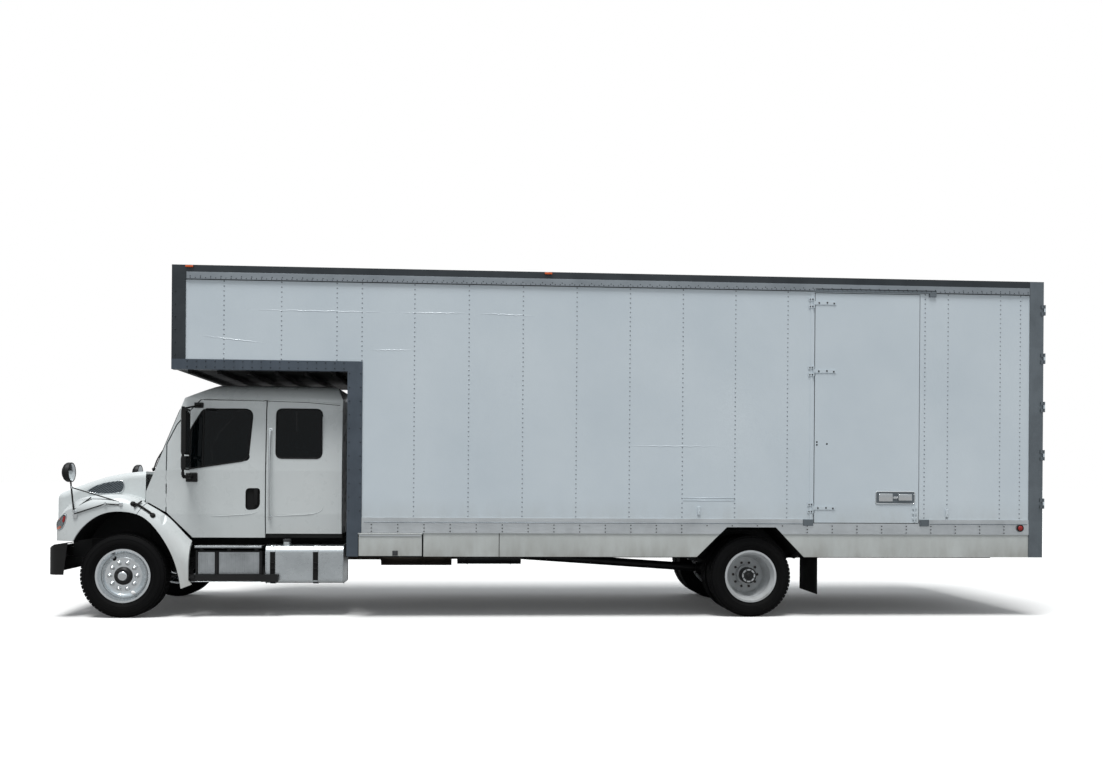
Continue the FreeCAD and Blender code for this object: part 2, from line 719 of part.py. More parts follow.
def grown(outline, by):
    """Outline pushed out from its own middle by about the distance given."""
    cs = (min(p[-2] for p in outline) + max(p[-2] for p in outline)) / 2
    cz = (min(p[-1] for p in outline) + max(p[-1] for p in outline)) / 2
    half_s = max(p[-2] for p in outline) - cs
    half_z = max(p[-1] for p in outline) - cz
    ks, kz = 1 + by / half_s, 1 + by / half_z
    result = []
    for p in outline:
        spot = []
        for a, b in zip(p[::2], p[1::2]):
            spot += [cs + (a - cs) * ks, cz + (b - cz) * kz]
        result.append(tuple(spot))
    return result


def cab_parts():
    """Shell, roof, floor and glass that share the cab's surface."""
    solid = cab_form(0)
    skin = solid.cut(cab_form(cab_wall))
    above = block(500, 3400, -1200, 1200, drip_z, 2800)
    floor_zone = block(1400, 3400, -1200, 1200, 700, cab_bottom + cab_wall)
    roof = skin.common(above)
    floor_edge = sill_y - 10
    floor = skin.common(floor_zone).common(block(1400, 3400, -floor_edge, floor_edge, 700, 1000))
    pads = [block(s, s + 120, rail_half - rail_flange, rail_half, rail_top, cab_bottom + 10)
            for s in (1620, 2900)]
    floor = joined([floor] + pads + [mirrored(pad) for pad in pads])
    shell = cut(skin, above, floor_zone)
    opening = side_cut(grown(door_line, door_gap), cab_half - 200, cab_half + 60)
    quarter = side_cut(rear_pane, 800, 1100)
    screen = cross_cut(screen_pane, 700, 1500)
    shell = cut(shell, opening, mirrored(opening), quarter, mirrored(quarter), screen)
    lugs = []
    for z in hinge_heights:
        for z0 in (z - 75, z + 25.5):
            lug = rod(5, 49.5, door_hinge_at, door_hinge_y, z0 + 24.75, (0, 0, 1))
            foot = block(door_front - door_gap - 4, door_hinge_at, door_hinge_y - 5, door_hinge_y + 3,
                         z0, z0 + 49.5)
            lugs.append(lug.fuse(foot))
    shell = joined([shell] + lugs + [mirrored(lug) for lug in lugs])
    back = cab_back - cab_wall - 10
    shell = shell.cut(block(back - fit_gap, back, -1200, 1200, cab_bottom, drip_z))
    glass = solid.cut(cab_form(glass_t))
    play = fit_gap
    panes = [glass.common(cross_cut(grown(screen_pane, -play), 700, 1500)),
             glass.common(side_cut(grown(rear_pane, -play), 800, 1100))]
    panes.append(mirrored(panes[1]))
    return shell, roof, floor, panes, skin, glass


sill_y = cab_half - 20 - cab_wall
door_hinge_at = door_front - door_gap / 2
door_hinge_y = cab_half - 4
hinge_heights = (1300, 1560)


def cab_door(skin, glass):
    """Left door leaf with its window cut, hinge knuckles and handle recess; and its pane."""
    leaf = skin.common(side_cut(door_line, cab_half - 200, cab_half + 60))
    leaf = leaf.cut(side_cut(door_pane, 700, 1200))
    leaf = leaf.cut(block(1200, 2400, 600, sill_y, 700, cab_bottom + cab_wall + 1))
    leaf = leaf.cut(block(2078, 2245, cab_half - 22, cab_half + 50, 1188, 1446))
    knuckles = []
    for z in hinge_heights:
        knuckles.append(rod(5, 50, door_hinge_at, door_hinge_y, z, (0, 0, 1)))
        knuckles.append(block(door_hinge_at, door_front + 6, door_hinge_y - 5, door_hinge_y + 3,
                              z - 25, z + 25))
    leaf = joined([leaf] + knuckles)
    pane = glass.common(side_cut(grown(door_pane, -fit_gap), 700, 1200))
    return leaf, pane


def door_mirror():
    """Tall mirror with a lower convex head, on a tube stayed to the door."""
    y_in, y_out = 1170, mirror_half
    head = block(1462, 1500, y_in, y_out, 1810, 2310)
    convex = block(1462, 1500, y_in, y_out, 1640, 1790)
    y = 1215
    tube = stay((1440, y, 1560), (1440, y, 2330), 12)
    lower = stay((1440, y, 1575), (1500, cab_half - 6, 1575), 12)
    upper = stay((1440, y, 2318), (1600, cab_half - 90, 2385), 10)
    links = [block(1440, 1466, y - 10, y + 10, z - 12, z + 12) for z in (1720, 1900, 2220)]
    plate = block(1470, 1545, cab_half - 8, cab_half + 6, 1515, 1612)
    return joined([tube, lower, upper, plate, head, convex] + links).cut(cab_form(0))


def seats():
    """Driver's and passenger's seats, each a cushion and back on a base."""
    result = []
    for y in (520, -520):
        base = block(1960, 2380, y - 190, y + 190, cab_bottom + cab_wall, 1230)
        cushion = side_cut([(1880, 1230), (1880, 1330), (1930, 1372, 2010, 1366), (2400, 1340),
                            (2440, 1230)], y - 250, y + 250)
        back = side_cut([(2330, 1342), (2420, 1342), (2600, 2080), (2590, 2140, 2540, 2150),
                         (2490, 2140, 2480, 2080)], y - 240, y + 240)
        result.append(joined([base, cushion, back]))
    return result


def dashboard():
    """Dash across the cab, behind the windshield's foot."""
    w = cab_half - cab_wall - 6
    outline = [(1090, 1280), (1060, 1560), (1110, 1600, 1200, 1610), (1420, 1575),
               (1470, 1540, 1470, 1480), (1400, 1330), (1400, 1200), (1240, 1200)]
    dash = side_cut(outline, -w, w)
    inner = cab_form(cab_wall + fit_gap)
    opening = side_cut(grown(door_line, door_gap), cab_half - cab_wall - 12, cab_half + 60)
    return cut(dash.common(inner), opening, mirrored(opening), column(30 + fit_gap))


wheel_tilt = math.radians(35)
wheel_axis = Vector(-math.cos(wheel_tilt), 0, math.sin(wheel_tilt))
wheel_centre = Vector(X(1700), 520, 1560)


def column(r):
    return Part.makeCylinder(r, 330, wheel_centre - wheel_axis * 380, wheel_axis)


def steering_wheel():
    """Rim, spokes and column, tipped towards the driver."""
    tilt, axis, centre = wheel_tilt, wheel_axis, wheel_centre
    up = Vector(math.sin(tilt), 0, math.cos(tilt))
    spots = [centre + up * (215 + 14 * math.cos(math.radians(a)))
             + axis * (14 * math.sin(math.radians(a))) for a in range(0, 360, 60)]
    section = Part.Face(Part.makePolygon(spots + spots[:1]))
    rim = section.revolve(centre, axis, 360)
    boss = Part.makeCylinder(60, 40, centre - axis * 60, axis)
    parts = [rim, boss, column(30)]
    for turn in (90, 210, 330):
        a = math.radians(turn)
        way = up * math.sin(a) + Vector(0, 1, 0) * math.cos(a)
        start = centre - axis * 35 + way * 45
        end = centre + way * 205
        run = end - start
        parts.append(Part.makeCylinder(12, run.Length, start, run))
    return joined(parts)


# ---------------------------------------------------------------- under the cab
step_front = 1556
step_rear = 2284


def cab_steps():
    """Battery box and two treads on each side."""
    y0, y1 = 640, 1100
    box = block(step_front, step_rear, y0, y1, 466, 735)
    recess = [block(s0, s1, y1 - 12, y1 + 1, 478, 728)
              for s0, s1 in ((1576, 1764), (1806, 2252))]
    upper = block(step_front, step_rear, 900, 1150, 770, 797)
    riser = [block(s, s + 40, 900, 1100, 735, 770) for s in (1600, 1900, 2200)]
    lower = cross_cut([(1000, 397), (1150, 397), (1150, 481), (1142, 481), (1142, 405),
                       (1008, 405), (1008, 466), (1000, 466)], 1491, 2300)
    tail = block(2300, 2466, 1102, 1150, 397, 481)
    tray = block(1491, 2300, 1008, 1142, 440, 466)
    frame = block(1700, 2000, rail_half + fit_gap, y0, 640, 700)
    stay_bar = block(1500, step_front, 1120, 1169.7, 440, 466)
    piece = joined([box.cut(joined(recess)), upper, lower, tail, tray, frame, stay_bar] + riser)
    return both(piece)


def fuel_tank():
    """Tank with rounded edges, two straps and the brackets that carry it."""
    s0, s1 = 2320, 3180
    z0, z1 = 378, 803
    y0, y1 = 660, 1090
    section = [(y0 + 20, z0), (y1 - 40, z0), (y1 - 12, z0 + 12, y1, z0 + 40), (y1, z1 - 80),
               (y1 - 24, z1 - 24, y1 - 80, z1), (y0 + 20, z1), (y0, z1 - 20), (y0, z0 + 20)]
    tank = cross_cut(section, s0, s1)
    band = [(y0 + 14, z0 - 6), (y1 - 38, z0 - 6), (y1 - 8, z0 + 8, y1 + 6, z0 + 38),
            (y1 + 6, z1 - 78), (y1 - 20, z1 - 20, y1 - 78, z1 + 6), (y0 + 14, z1 + 6),
            (y0 - 6, z1 - 14), (y0 - 6, z0 + 14)]
    parts = [tank]
    for s in (2370, 2845):
        parts.append(cross_cut(band, s, s + 55))
        parts.append(block(s, s + 55, rail_half + fit_gap, y0, 630, 720))
    neck = rod(45, 40, 2540, 1000, z1 + 15, (0, 0, 1))
    return joined(parts + [neck])


# ---------------------------------------------------------------- van body
wheel_cut = [(7171, 600), (7171, skirt_bottom), (7514, 1033), (8080, 1033), (8408, skirt_bottom),
             (8408, 600)]
body_inner_rear = body_rear - rear_post_w


def side_door_hole(grow, y0, y1):
    return block(side_door_front - grow, side_door_rear + grow, y0, y1,
                 side_door_bottom - grow, side_door_top + grow)


def side_wall(left):
    """Side panel from nose to rear posts, stepped over the cab."""
    outline = [(attic_front + trim_plate + body_wall, attic_rail_z + trim_plate),
               (bulkhead_at + trim_plate + body_wall, attic_rail_z + trim_plate),
               (bulkhead_at + trim_plate + body_wall, sill_z + sill_h),
               (body_inner_rear, sill_z + sill_h), (body_inner_rear, panel_top),
               (attic_front + trim_plate + body_wall, panel_top)]
    wall = side_cut(outline, inner_y, panel_y)
    if left:
        return wall.cut(side_door_hole(0, inner_y - 5, panel_y + 5))
    return mirrored(wall)


def front_wall():
    """Nose panel, floor of the attic and bulkhead, folded as one."""
    t = body_wall
    nose = attic_front + trim_plate
    back = bulkhead_at + trim_plate
    low = attic_rail_z + trim_plate
    outline = [(nose, low), (back, low), (back, sill_z + 10), (back + t, sill_z + 10),
               (back + t, low + t), (nose + t, low + t), (nose + t, body_top - 30),
               (nose, body_top - 30)]
    wall = side_cut(outline, -panel_y, panel_y)
    for y0, y1 in ((inner_y, panel_y), (-panel_y, -inner_y)):
        wall = cut(wall, block(nose + t, back + t, y0, y1, low, body_top),
                   block(nose, nose + t, y0, y1, panel_top, body_top))
    return wall


def top_rails():
    """Top rails, and the posts that turn down from them at the nose."""
    y0, y1, p = inner_y, body_half, panel_y
    low, high = attic_rail_z + attic_rail_h + fit_gap, panel_top - fit_gap
    parts = [
        block(attic_front, body_inner_rear, y0, y1, panel_top, body_top),
        block(attic_front, attic_front + corner_post_w, p, y1, low, high),
        block(attic_front, attic_front + trim_plate, y1 - corner_leg, p - fit_gap, low, high)]
    return parts + [mirrored(part) for part in parts]


def attic_trim():
    """Angle rails under the attic and angle posts at the bulkhead."""
    y1, p = body_half, panel_y
    inside = y1 - fit_gap
    end = bulkhead_at + bulkhead_post_w
    parts = [
        block(attic_front, end, p, y1, attic_rail_z, attic_rail_z + attic_rail_h),
        block(attic_front, bulkhead_at - fit_gap, y1 - corner_leg, p - fit_gap, attic_rail_z,
              attic_rail_z + trim_plate),
        block(bulkhead_at, end, p, y1, sill_z, attic_rail_z - fit_gap),
        block(bulkhead_at, bulkhead_at + locker_offset, p, y1, skirt_bottom, sill_z - fit_gap),
        block(bulkhead_at, bulkhead_at + trim_plate, y1 - corner_leg, p - fit_gap, skirt_bottom,
              attic_rail_z - fit_gap)]
    return parts + [mirrored(part) for part in parts]


def sill_rails():
    """Side rails of the deck over the skirts, broken at the wheels, and the strips on them."""
    y0, y1, p = inner_y, body_half, panel_y
    front, rear = wheel_cut[2][0], wheel_cut[3][0]
    top = sill_z + sill_h
    well = side_cut(wheel_cut, y0 - 10, y1 + 10)
    start = bulkhead_at + bulkhead_post_w + fit_gap
    rail = [block(start, front, y0, y1, sill_z, top).cut(well),
            block(front + fit_gap, rear - fit_gap, y0, y1, wheel_cut[2][1], top),
            block(rear, body_inner_rear, y0, y1, sill_z, top).cut(well)]
    strip = block(start, body_inner_rear, p, y1 - 2, top + fit_gap, sill_top)
    lugs = [block(s, s + 7.5, p, lid_pivot[0] + 5, lid_pivot[1] - 6, sill_z - fit_gap)
            for s in (locker_front - 4, locker_rear - 3.5)]
    right = [mirrored(piece) for piece in rail + [strip]]
    return rail + [strip.cut(side_door_hole(fit_gap, y0 - 5, y1 + 5))] + lugs + right


def side_door_frame():
    """Flat frame round the side door's hole, with the hinge lugs on its front jamb."""
    p = panel_y
    t = 4
    s0, s1 = side_door_front, side_door_rear
    low, high = sill_top + fit_gap, panel_top - fit_gap
    parts = [block(s0 - jamb_w, s0, p, p + t, low, high),
             block(s1, s1 + jamb_w, p, p + t, low, high),
             block(s0 + fit_gap, s1 - fit_gap, p, p + t, side_door_top, high)]
    s, y = side_pivot
    face = p + t + fit_gap
    for z in side_hinge_heights:
        for z0 in (z - 60, z + 20.5):
            pin = rod(8, 39.5, s, y, z0 + 19.75, (0, 0, 1))
            foot = block(s - 60, s, face, face + 4, z0, z0 + 39.5)
            web = block(s - 6, s, face, y, z0, z0 + 39.5)
            parts.append(joined([pin, foot, web]))
    return parts


corner_leg = 110          # inward leg of the corner angles
jamb_w = 45
side_pivot = (side_door_front - 10, body_half + 8)
side_hinge_heights = (1256, 2820, 3600)
locker_offset = 126
locker_front = 3370
locker_rear = 4073
lid_pivot = (body_half + 3, 948)   # y and z of the locker lid's hinge line
rear_pivot = (body_rear + 7, body_half + 11)
rear_hinge_heights = (1320, 1880, 2440, 3000, 3560)
rear_open_half = 1150
rear_open_top = 3700


def side_door():
    """Cargo door leaf with three strap hinges."""
    leaf = block(side_door_front + leaf_gap, side_door_rear - leaf_gap, inner_y, panel_y + 6,
                 side_door_bottom + leaf_gap, side_door_top - leaf_gap)
    straps = []
    s, y = side_pivot
    for z in side_hinge_heights:
        straps.append(rod(8, 40, s, y, z, (0, 0, 1)))
        straps.append(block(s + 12, s + 260, panel_y + 6, panel_y + 12, z - 19, z + 19))
        straps.append(block(s, s + 24, panel_y + 6, y, z - 20, z + 20))
    return joined([leaf] + straps)


def body_floor():
    """Deck, crossmembers and the sills that lie on the frame rails."""
    t = body_wall
    s0, s1 = bulkhead_at + trim_plate + t, body_inner_rear
    deck = block(s0, s1, -inner_y, inner_y, floor_top - floor_t, floor_top)
    sills = both(block(s0, s1, rail_half - rail_flange, rail_half, rail_top, sill_z + 10))
    beams = []
    count = 18
    pitch = (s1 - s0 - 60) / (count - 1)
    for i in range(count):
        s = s0 + i * pitch
        beams.append(block(s, s + 60, -inner_y, inner_y, sill_z + 10, floor_top - floor_t))
    well = side_cut(wheel_cut, 560, 1300)
    return cut(joined([deck] + sills + beams), well, mirrored(well))


def body_roof():
    return block(attic_front, body_inner_rear, -inner_y, inner_y, body_top - 30, body_top)


def rear_frame():
    """Door frame with its sill, header and hinge lugs."""
    w, top, low = rear_open_half, rear_open_top, floor_top
    s0, s1 = body_inner_rear, body_rear
    posts = both(block(s0, s1, w, body_half, skirt_bottom, body_top))
    header = block(s0, s1, -w, w, top, body_top)
    sill = block(s0, s1, -w, w, sill_z, low)
    lugs = []
    s, y = rear_pivot
    for z in rear_hinge_heights:
        for z0 in (z - 60, z + 20.5):
            lug = rod(10, 39.5, s, y, z0 + 19.75, (0, 0, 1))
            foot = block(s - 40, s, body_half - 4, y, z0, z0 + 39.5)
            lugs += both(lug.fuse(foot))
    return joined(posts + [header, sill] + lugs)


def rear_door():
    """Left leaf of the rear doors with five strap hinges."""
    w = rear_open_half - leaf_gap
    leaf = block(body_rear - 45, body_rear, leaf_gap / 2, w, floor_top + leaf_gap,
                 rear_open_top - leaf_gap)
    straps = []
    s, y = rear_pivot
    for z in rear_hinge_heights:
        straps.append(rod(10, 40, s, y, z, (0, 0, 1)))
        straps.append(block(body_rear + 6, body_rear + 12, w - 60, y, z - 20, z + 20))
        straps.append(block(body_rear, body_rear + 8, w - 60, w - 4, z - 20, z + 20))
    return joined([leaf] + straps)


def locker():
    """Tool locker behind the skirt, open to the side."""
    outer = block(locker_front, locker_rear, 900, panel_y - 15, skirt_bottom + 6, sill_z)
    inner = block(locker_front + 12, locker_rear - 12, 912, panel_y, skirt_bottom + 18, sill_z - 12)
    return outer.cut(inner)


def locker_lid():
    """Lid of the locker with a hinge barrel along its top edge."""
    y, z = lid_pivot
    lid = block(locker_front + 4, locker_rear - 4, panel_y - 13, panel_y + 5, skirt_bottom + 6,
                z - 6)
    barrel = rod(5, locker_rear - locker_front - 8, (locker_front + locker_rear) / 2, y, z,
                 (1, 0, 0))
    web = block(locker_front + 4, locker_rear - 4, panel_y + 2, y, z - 12, z - 3)
    return joined([lid, barrel, web])


def skirts():
    """Side skirts below the sill rails, broken at the wheels."""
    t = 8
    y0, y1 = panel_y - t, panel_y
    well = side_cut(grown(wheel_cut, fit_gap), y0 - 50, y1 + 50)
    front = bulkhead_at + locker_offset
    left = [block(locker_rear + 14, 4926, y0, y1, skirt_bottom, sill_z),
            block(4934, body_inner_rear, y0, y1, skirt_bottom, sill_z).cut(well)]
    right = [block(front, body_inner_rear, y0, y1, skirt_bottom, sill_z).cut(well)]
    return left + [mirrored(s) for s in right]


def wheel_liners(more):
    """Folded liner over each pair of rear wheels, the flap behind, and the front arches' backs."""
    t = 4
    low, high, high_rear, low_rear = wheel_cut[1:5]
    strip = [low, high, high_rear, low_rear, (low_rear[0] - t * 1.2, low_rear[1]),
             (high_rear[0] - t * 0.4, high_rear[1] - t), (high[0] + t * 0.4, high[1] - t),
             (low[0] + t * 1.2, low[1])]
    liner = side_cut(strip, 600, panel_y)
    flap = block(flap_at, flap_at + 6, *flap_y, flap_bottom, flap_top)
    carrier = block(flap_at - 24, flap_at, *flap_y, flap_top, floor_top - floor_t)
    lap = block(flap_at, flap_at + 6, *flap_y, flap_top, flap_top + 40)
    return both(liner) + both(joined([flap, carrier, lap])) + more


flap_y = (570, 1215)
flap_at = rear_axle_at + 767
flap_bottom = 262
flap_top = 800


def rear_guard():
    """Underride bar between the feet of the rear posts."""
    half = rear_open_half - fit_gap
    s0 = body_inner_rear + 30
    return block(s0, s0 + 100, -half, half, skirt_bottom + 6, skirt_bottom + 106)


# ---------------------------------------------------------------- the whole truck
def pair(name, shape):
    """Save a left piece and its mirror image on the right."""
    shapes = shape if isinstance(shape, list) else [shape]
    save("left_" + name, shapes)
    save("right_" + name, [mirrored(s) for s in shapes])


front_solid = hood_form(0)
front_skin = front_solid.cut(hood_form(hood_wall))
front_liners, rear_liners = arch_liners()
shell, roof, floor, panes, skin, glass = cab_parts()
leaf, pane = cab_door(skin, glass)
for name, shape in (
        ("frame_rails", frame_rails()), ("crossmembers", crossmembers()),
        ("front_axle", front_axle()), ("tie_rod", tie_rod()),
        ("leaf_springs", springs()), ("rear_axle", rear_axle()),
        ("drive_shafts", drive_shafts()), ("engine_block", engine()), 
        ("exhaust", exhaust()), ("front_bumper", bumper()), ("hood", hood(front_skin)),
        ("quarter_fenders", quarter_fenders(front_skin)), ("grille", grille(front_skin)),
        ("headlamps", headlamps(front_solid)), ("hood_mirrors", hood_mirrors(front_solid)),
        ("arch_liners", front_liners), ("cab_shell", shell),
        ("cab_roof", roof), ("cab_floor", floor), ("cab_glass", panes), ("seats", seats()),
        ("dashboard", dashboard()), ("steering_wheel", steering_wheel()),
        ("cab_steps", cab_steps()), ("fuel_tank", fuel_tank()), ("left_wall", side_wall(True)),
        ("right_wall", side_wall(False)), ("front_wall", front_wall()),
        ("top_rails", top_rails()), ("attic_trim", attic_trim()), ("sill_rails", sill_rails()),
        ("side_door_frame", side_door_frame()),
        ("body_floor", body_floor()), ("body_roof", body_roof()), ("rear_frame", rear_frame()),
        ("side_cargo_door", side_door()), ("tool_locker", locker()),
        ("locker_lid", locker_lid()), ("side_skirts", skirts()),
        ("wheel_liners", wheel_liners(rear_liners)), ("rear_guard", rear_guard())):
    save(name, shape)
pair("knuckle", knuckle())
pair("front_wheel", front_wheel())
pair("front_tyre", turned(tyre(front_wheel_y), front_axle_at, axle_z))
pair("rear_wheels", rear_wheels())
pair("rear_tyres", [turned(tyre(y), rear_axle_at, axle_z)
                    for y in (dual_outer_y, dual_outer_y - dual_spacing)])
pair("cab_door", leaf)
pair("door_glass", pane)
pair("door_mirror", door_mirror())
pair("rear_door", rear_door())
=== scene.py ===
import json
import math
import bmesh
import bpy
from mathutils import Matrix, Vector
from mathutils.bvhtree import BVHTree


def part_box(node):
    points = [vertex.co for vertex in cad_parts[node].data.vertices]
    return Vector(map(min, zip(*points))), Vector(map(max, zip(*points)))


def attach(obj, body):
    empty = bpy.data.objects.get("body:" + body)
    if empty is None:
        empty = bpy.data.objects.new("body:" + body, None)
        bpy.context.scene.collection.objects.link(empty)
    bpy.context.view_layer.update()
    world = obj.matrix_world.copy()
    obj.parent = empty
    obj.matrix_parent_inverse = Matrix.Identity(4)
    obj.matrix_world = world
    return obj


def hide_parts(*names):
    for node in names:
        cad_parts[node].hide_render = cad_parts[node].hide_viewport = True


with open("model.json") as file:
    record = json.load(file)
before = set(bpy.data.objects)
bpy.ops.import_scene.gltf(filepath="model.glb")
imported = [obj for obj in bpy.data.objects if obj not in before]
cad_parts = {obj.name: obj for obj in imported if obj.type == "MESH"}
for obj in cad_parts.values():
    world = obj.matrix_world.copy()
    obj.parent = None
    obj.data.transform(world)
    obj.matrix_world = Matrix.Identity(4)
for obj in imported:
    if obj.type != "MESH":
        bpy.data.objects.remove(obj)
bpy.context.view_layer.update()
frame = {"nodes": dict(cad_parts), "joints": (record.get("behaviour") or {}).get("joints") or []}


def jointPlace(name):
    return Vector(next(joint["pos_m"] for joint in frame["joints"] if joint["name"] == name))


frontAxleX = jointPlace("left_steer").x
rearAxleX = jointPlace("left_rear_wheels_spin").x
axleZ = jointPlace("left_rear_wheels_spin").z
noseToAxle = 0.785
datumX = frontAxleX + noseToAxle  # stations are metres behind this plane, near the truck's nose
sides = (("left", 1), ("right", -1))
outLeft = (0, 1, 0)


def atStation(station):
    return datumX - station


def nodeBox(name):
    low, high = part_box(name)
    return Vector(low), Vector(high)


# small helpers for meshes
def addPiece(name, work, material, body, smooth=True, sharp=None):
    # one object at the origin with its place in its mesh, riding on a body
    mesh = work
    if isinstance(work, bmesh.types.BMesh):
        mesh = bpy.data.meshes.new(name)
        work.to_mesh(mesh)
        work.free()
    piece = bpy.data.objects.new(name, mesh)
    bpy.context.scene.collection.objects.link(piece)
    mesh.materials.clear()
    mesh.materials.append(material)
    for face in mesh.polygons:
        face.use_smooth = smooth
    if sharp:
        mesh.set_sharp_from_angle(angle=math.radians(sharp))
    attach(piece, body)
    return piece


def addBox(work, first, last, bevel=0.0, segments=2):
    # box between two opposite corners, its edges rounded by bevel
    low, high = Vector(map(min, first, last)), Vector(map(max, first, last))
    size = high - low
    made = bmesh.ops.create_cube(work, size=1.0)["verts"]
    bmesh.ops.scale(work, vec=size, verts=made)
    bmesh.ops.translate(work, vec=(low + high) / 2, verts=made)
    if bevel:
        edges = list({edge for vert in made for edge in vert.link_edges})
        bmesh.ops.bevel(work, geom=edges, offset=min(bevel, min(size) * 0.45), segments=segments,
                        affect="EDGES", profile=0.6)


def addSpan(work, stations, across, heights, bevel=0.0, segments=2):
    # box over a range of stations, of y and of z
    addBox(work, *zip(map(atStation, stations), across, heights), bevel, segments)


def bridge(work, rings, closed=False):
    # skin over rings of points, where a ring of one point is a pole
    rings = [[work.verts.new(point) for point in ring] for ring in rings]
    faces = []
    for a, b in zip(rings, rings[1:] + rings[:closed]):
        count = max(len(a), len(b))
        for k in range(count):
            m = (k + 1) % count
            corners = []
            for vert in (a[k % len(a)], a[m % len(a)], b[m % len(b)], b[k % len(b)]):
                if all((vert.co - corner.co).length > 1e-7 for corner in corners):
                    corners.append(vert)
            if len(corners) > 2:
                faces.append(work.faces.new(corners))
    if not closed:
        faces += [work.faces.new(rings[0]), work.faces.new(rings[-1][::-1])]
    bmesh.ops.recalc_face_normals(work, faces=faces)


def addPrism(work, outline, depth):
    # closed outline of points pulled along a vector
    outline = [Vector(point) for point in outline]
    bridge(work, [outline, [point + Vector(depth) for point in outline]])


def curvePoint(a, b, c, d, t):
    # a Catmull-Rom curve between b and c
    return 0.5 * ((2 * b) + (c - a) * t + (2 * a - 5 * b + 4 * c - d) * t * t
                  + (3 * b - a - 3 * c + d) * t ** 3)


def smoothPath(points, step=0.02):
    spots = [Vector(point) for point in points]
    ends = [spots[0] * 2 - spots[1]] + spots + [spots[-1] * 2 - spots[-2]]
    result = []
    for i in range(len(spots) - 1):
        four = ends[i:i + 4]
        count = max(2, int((four[2] - four[1]).length / step))
        result += [curvePoint(*four, k / count) for k in range(count)]
    return result + [spots[-1]]


def smoothLoop(points, steps=4):
    # closed curve through (station, z) pairs
    count = len(points)
    return [tuple(curvePoint(*(Vector(points[(i + j - 1) % count]) for j in range(4)), k / steps))
            for i in range(count) for k in range(steps)]


def ringPoints(centre, u, v, radius, count):
    turns = [2 * math.pi * k / count for k in range(count)]
    return [centre + (u * math.cos(turn) + v * math.sin(turn)) * radius for turn in turns]


def addTube(work, points, radius, count=10, closed=False):
    # round bar along points, capped at its ends unless closed
    points = [Vector(point) for point in points]
    last = len(points) - 1
    rings = []
    normal = None
    for i, point in enumerate(points):
        before = points[i - 1] if i or closed else point
        after = points[(i + 1) % (last + 1)] if i < last or closed else point
        along = (after - before).normalized()
        if normal is None:
            normal = along.orthogonal().normalized()
        normal = (normal - along * normal.dot(along)).normalized()
        thick = radius[i] if isinstance(radius, list) else radius
        rings.append(ringPoints(point, normal, along.cross(normal), thick, count))
    bridge(work, rings, closed)


def addLathe(work, profile, centre, axis=outLeft, count=48):
    # closed profile of (along, radius) turned about an axis through centre
    axis = Vector(axis).normalized()
    u = axis.orthogonal().normalized()
    rings = []
    for along, radius in profile:
        middle = Vector(centre) + axis * along
        rings.append(ringPoints(middle, u, axis.cross(u), radius, count) if radius else [middle])
    bridge(work, rings, True)


def mirrorWork(work, keep=True):
    # turns everything made so far to the truck's other side, or adds its mirror image there
    made = work.verts[:] + work.edges[:] + work.faces[:]
    if keep:
        made = bmesh.ops.duplicate(work, geom=made)["geom"]
    for vert in [part for part in made if isinstance(part, bmesh.types.BMVert)]:
        vert.co.y = -vert.co.y
    faces = [part for part in made if isinstance(part, bmesh.types.BMFace)]
    bmesh.ops.reverse_faces(work, faces=faces)


# materials: each starts from what the real surface is
def hexColour(code):
    channels = [int(code[i:i + 2], 16) / 255 for i in (0, 2, 4)]
    linear = [c / 12.92 if c <= 0.04045 else ((c + 0.055) / 1.055) ** 2.4 for c in channels]
    return (*linear, 1.0)


def addNode(owner, kind, values=None, links=None, **settings):
    # adds a node with its settings, input values and links from (node, output) pairs
    tree = getattr(owner, "node_tree", owner)
    node = tree.nodes.new(kind)
    for key, value in settings.items():
        setattr(node, key, value)
    for socket, value in (values or {}).items():
        node.inputs[socket].default_value = value
    plug(tree, node, links or {})
    return node


def plug(owner, node, links):
    # links come as input: (source node, its output)
    for socket, (source, output) in links.items():
        getattr(owner, "node_tree", owner).links.new(source.outputs[output], node.inputs[socket])


def newMaterial(name, colour, roughness, **more):
    # Principled surface, with the shader and the object's own coordinates ready for patterns
    material = bpy.data.materials.new(name)
    material.use_nodes = True
    shader = material.node_tree.nodes["Principled BSDF"]
    for socket, value in {"Base Color": hexColour(colour), "Roughness": roughness, **more}.items():
        shader.inputs[socket].default_value = value
    return material, shader, addNode(material, "ShaderNodeTexCoord")


def noiseAt(material, place, scale, detail=4.0, roughness=0.55, stretch=(1, 1, 1)):
    # noise on Object coordinates; scale is in cycles per metre before the stretch
    mapping = addNode(material, "ShaderNodeMapping", {"Scale": stretch},
                      {"Vector": (place, "Object")})
    noise = addNode(material, "ShaderNodeTexNoise",
                    {"Scale": scale, "Detail": detail, "Roughness": roughness},
                    {"Vector": (mapping, "Vector")})
    return noise, "Fac"


def spread(material, source, low, high, toLow=0.0, toHigh=1.0):
    # maps a range of a pattern onto another range
    node = addNode(material, "ShaderNodeMapRange",
                   {"From Min": low, "From Max": high, "To Min": toLow, "To Max": toHigh},
                   {"Value": source})
    return node, "Result"


def blendColours(material, factor, *colours):
    # mixes two colours, each a hex code or a (node, output) pair
    node = addNode(material, "ShaderNodeMix", links={0: factor}, data_type="RGBA")
    for index, colour in zip((6, 7), colours):
        if isinstance(colour, str):
            node.inputs[index].default_value = hexColour(colour)
        else:
            plug(material, node, {index: colour})
    return node, "Result"


def bumpFrom(material, source, distance, strength, before=None):
    links = {"Height": source}
    if before:
        links["Normal"] = before
    return addNode(material, "ShaderNodeBump", {"Distance": distance, "Strength": strength},
                   links), "Normal"


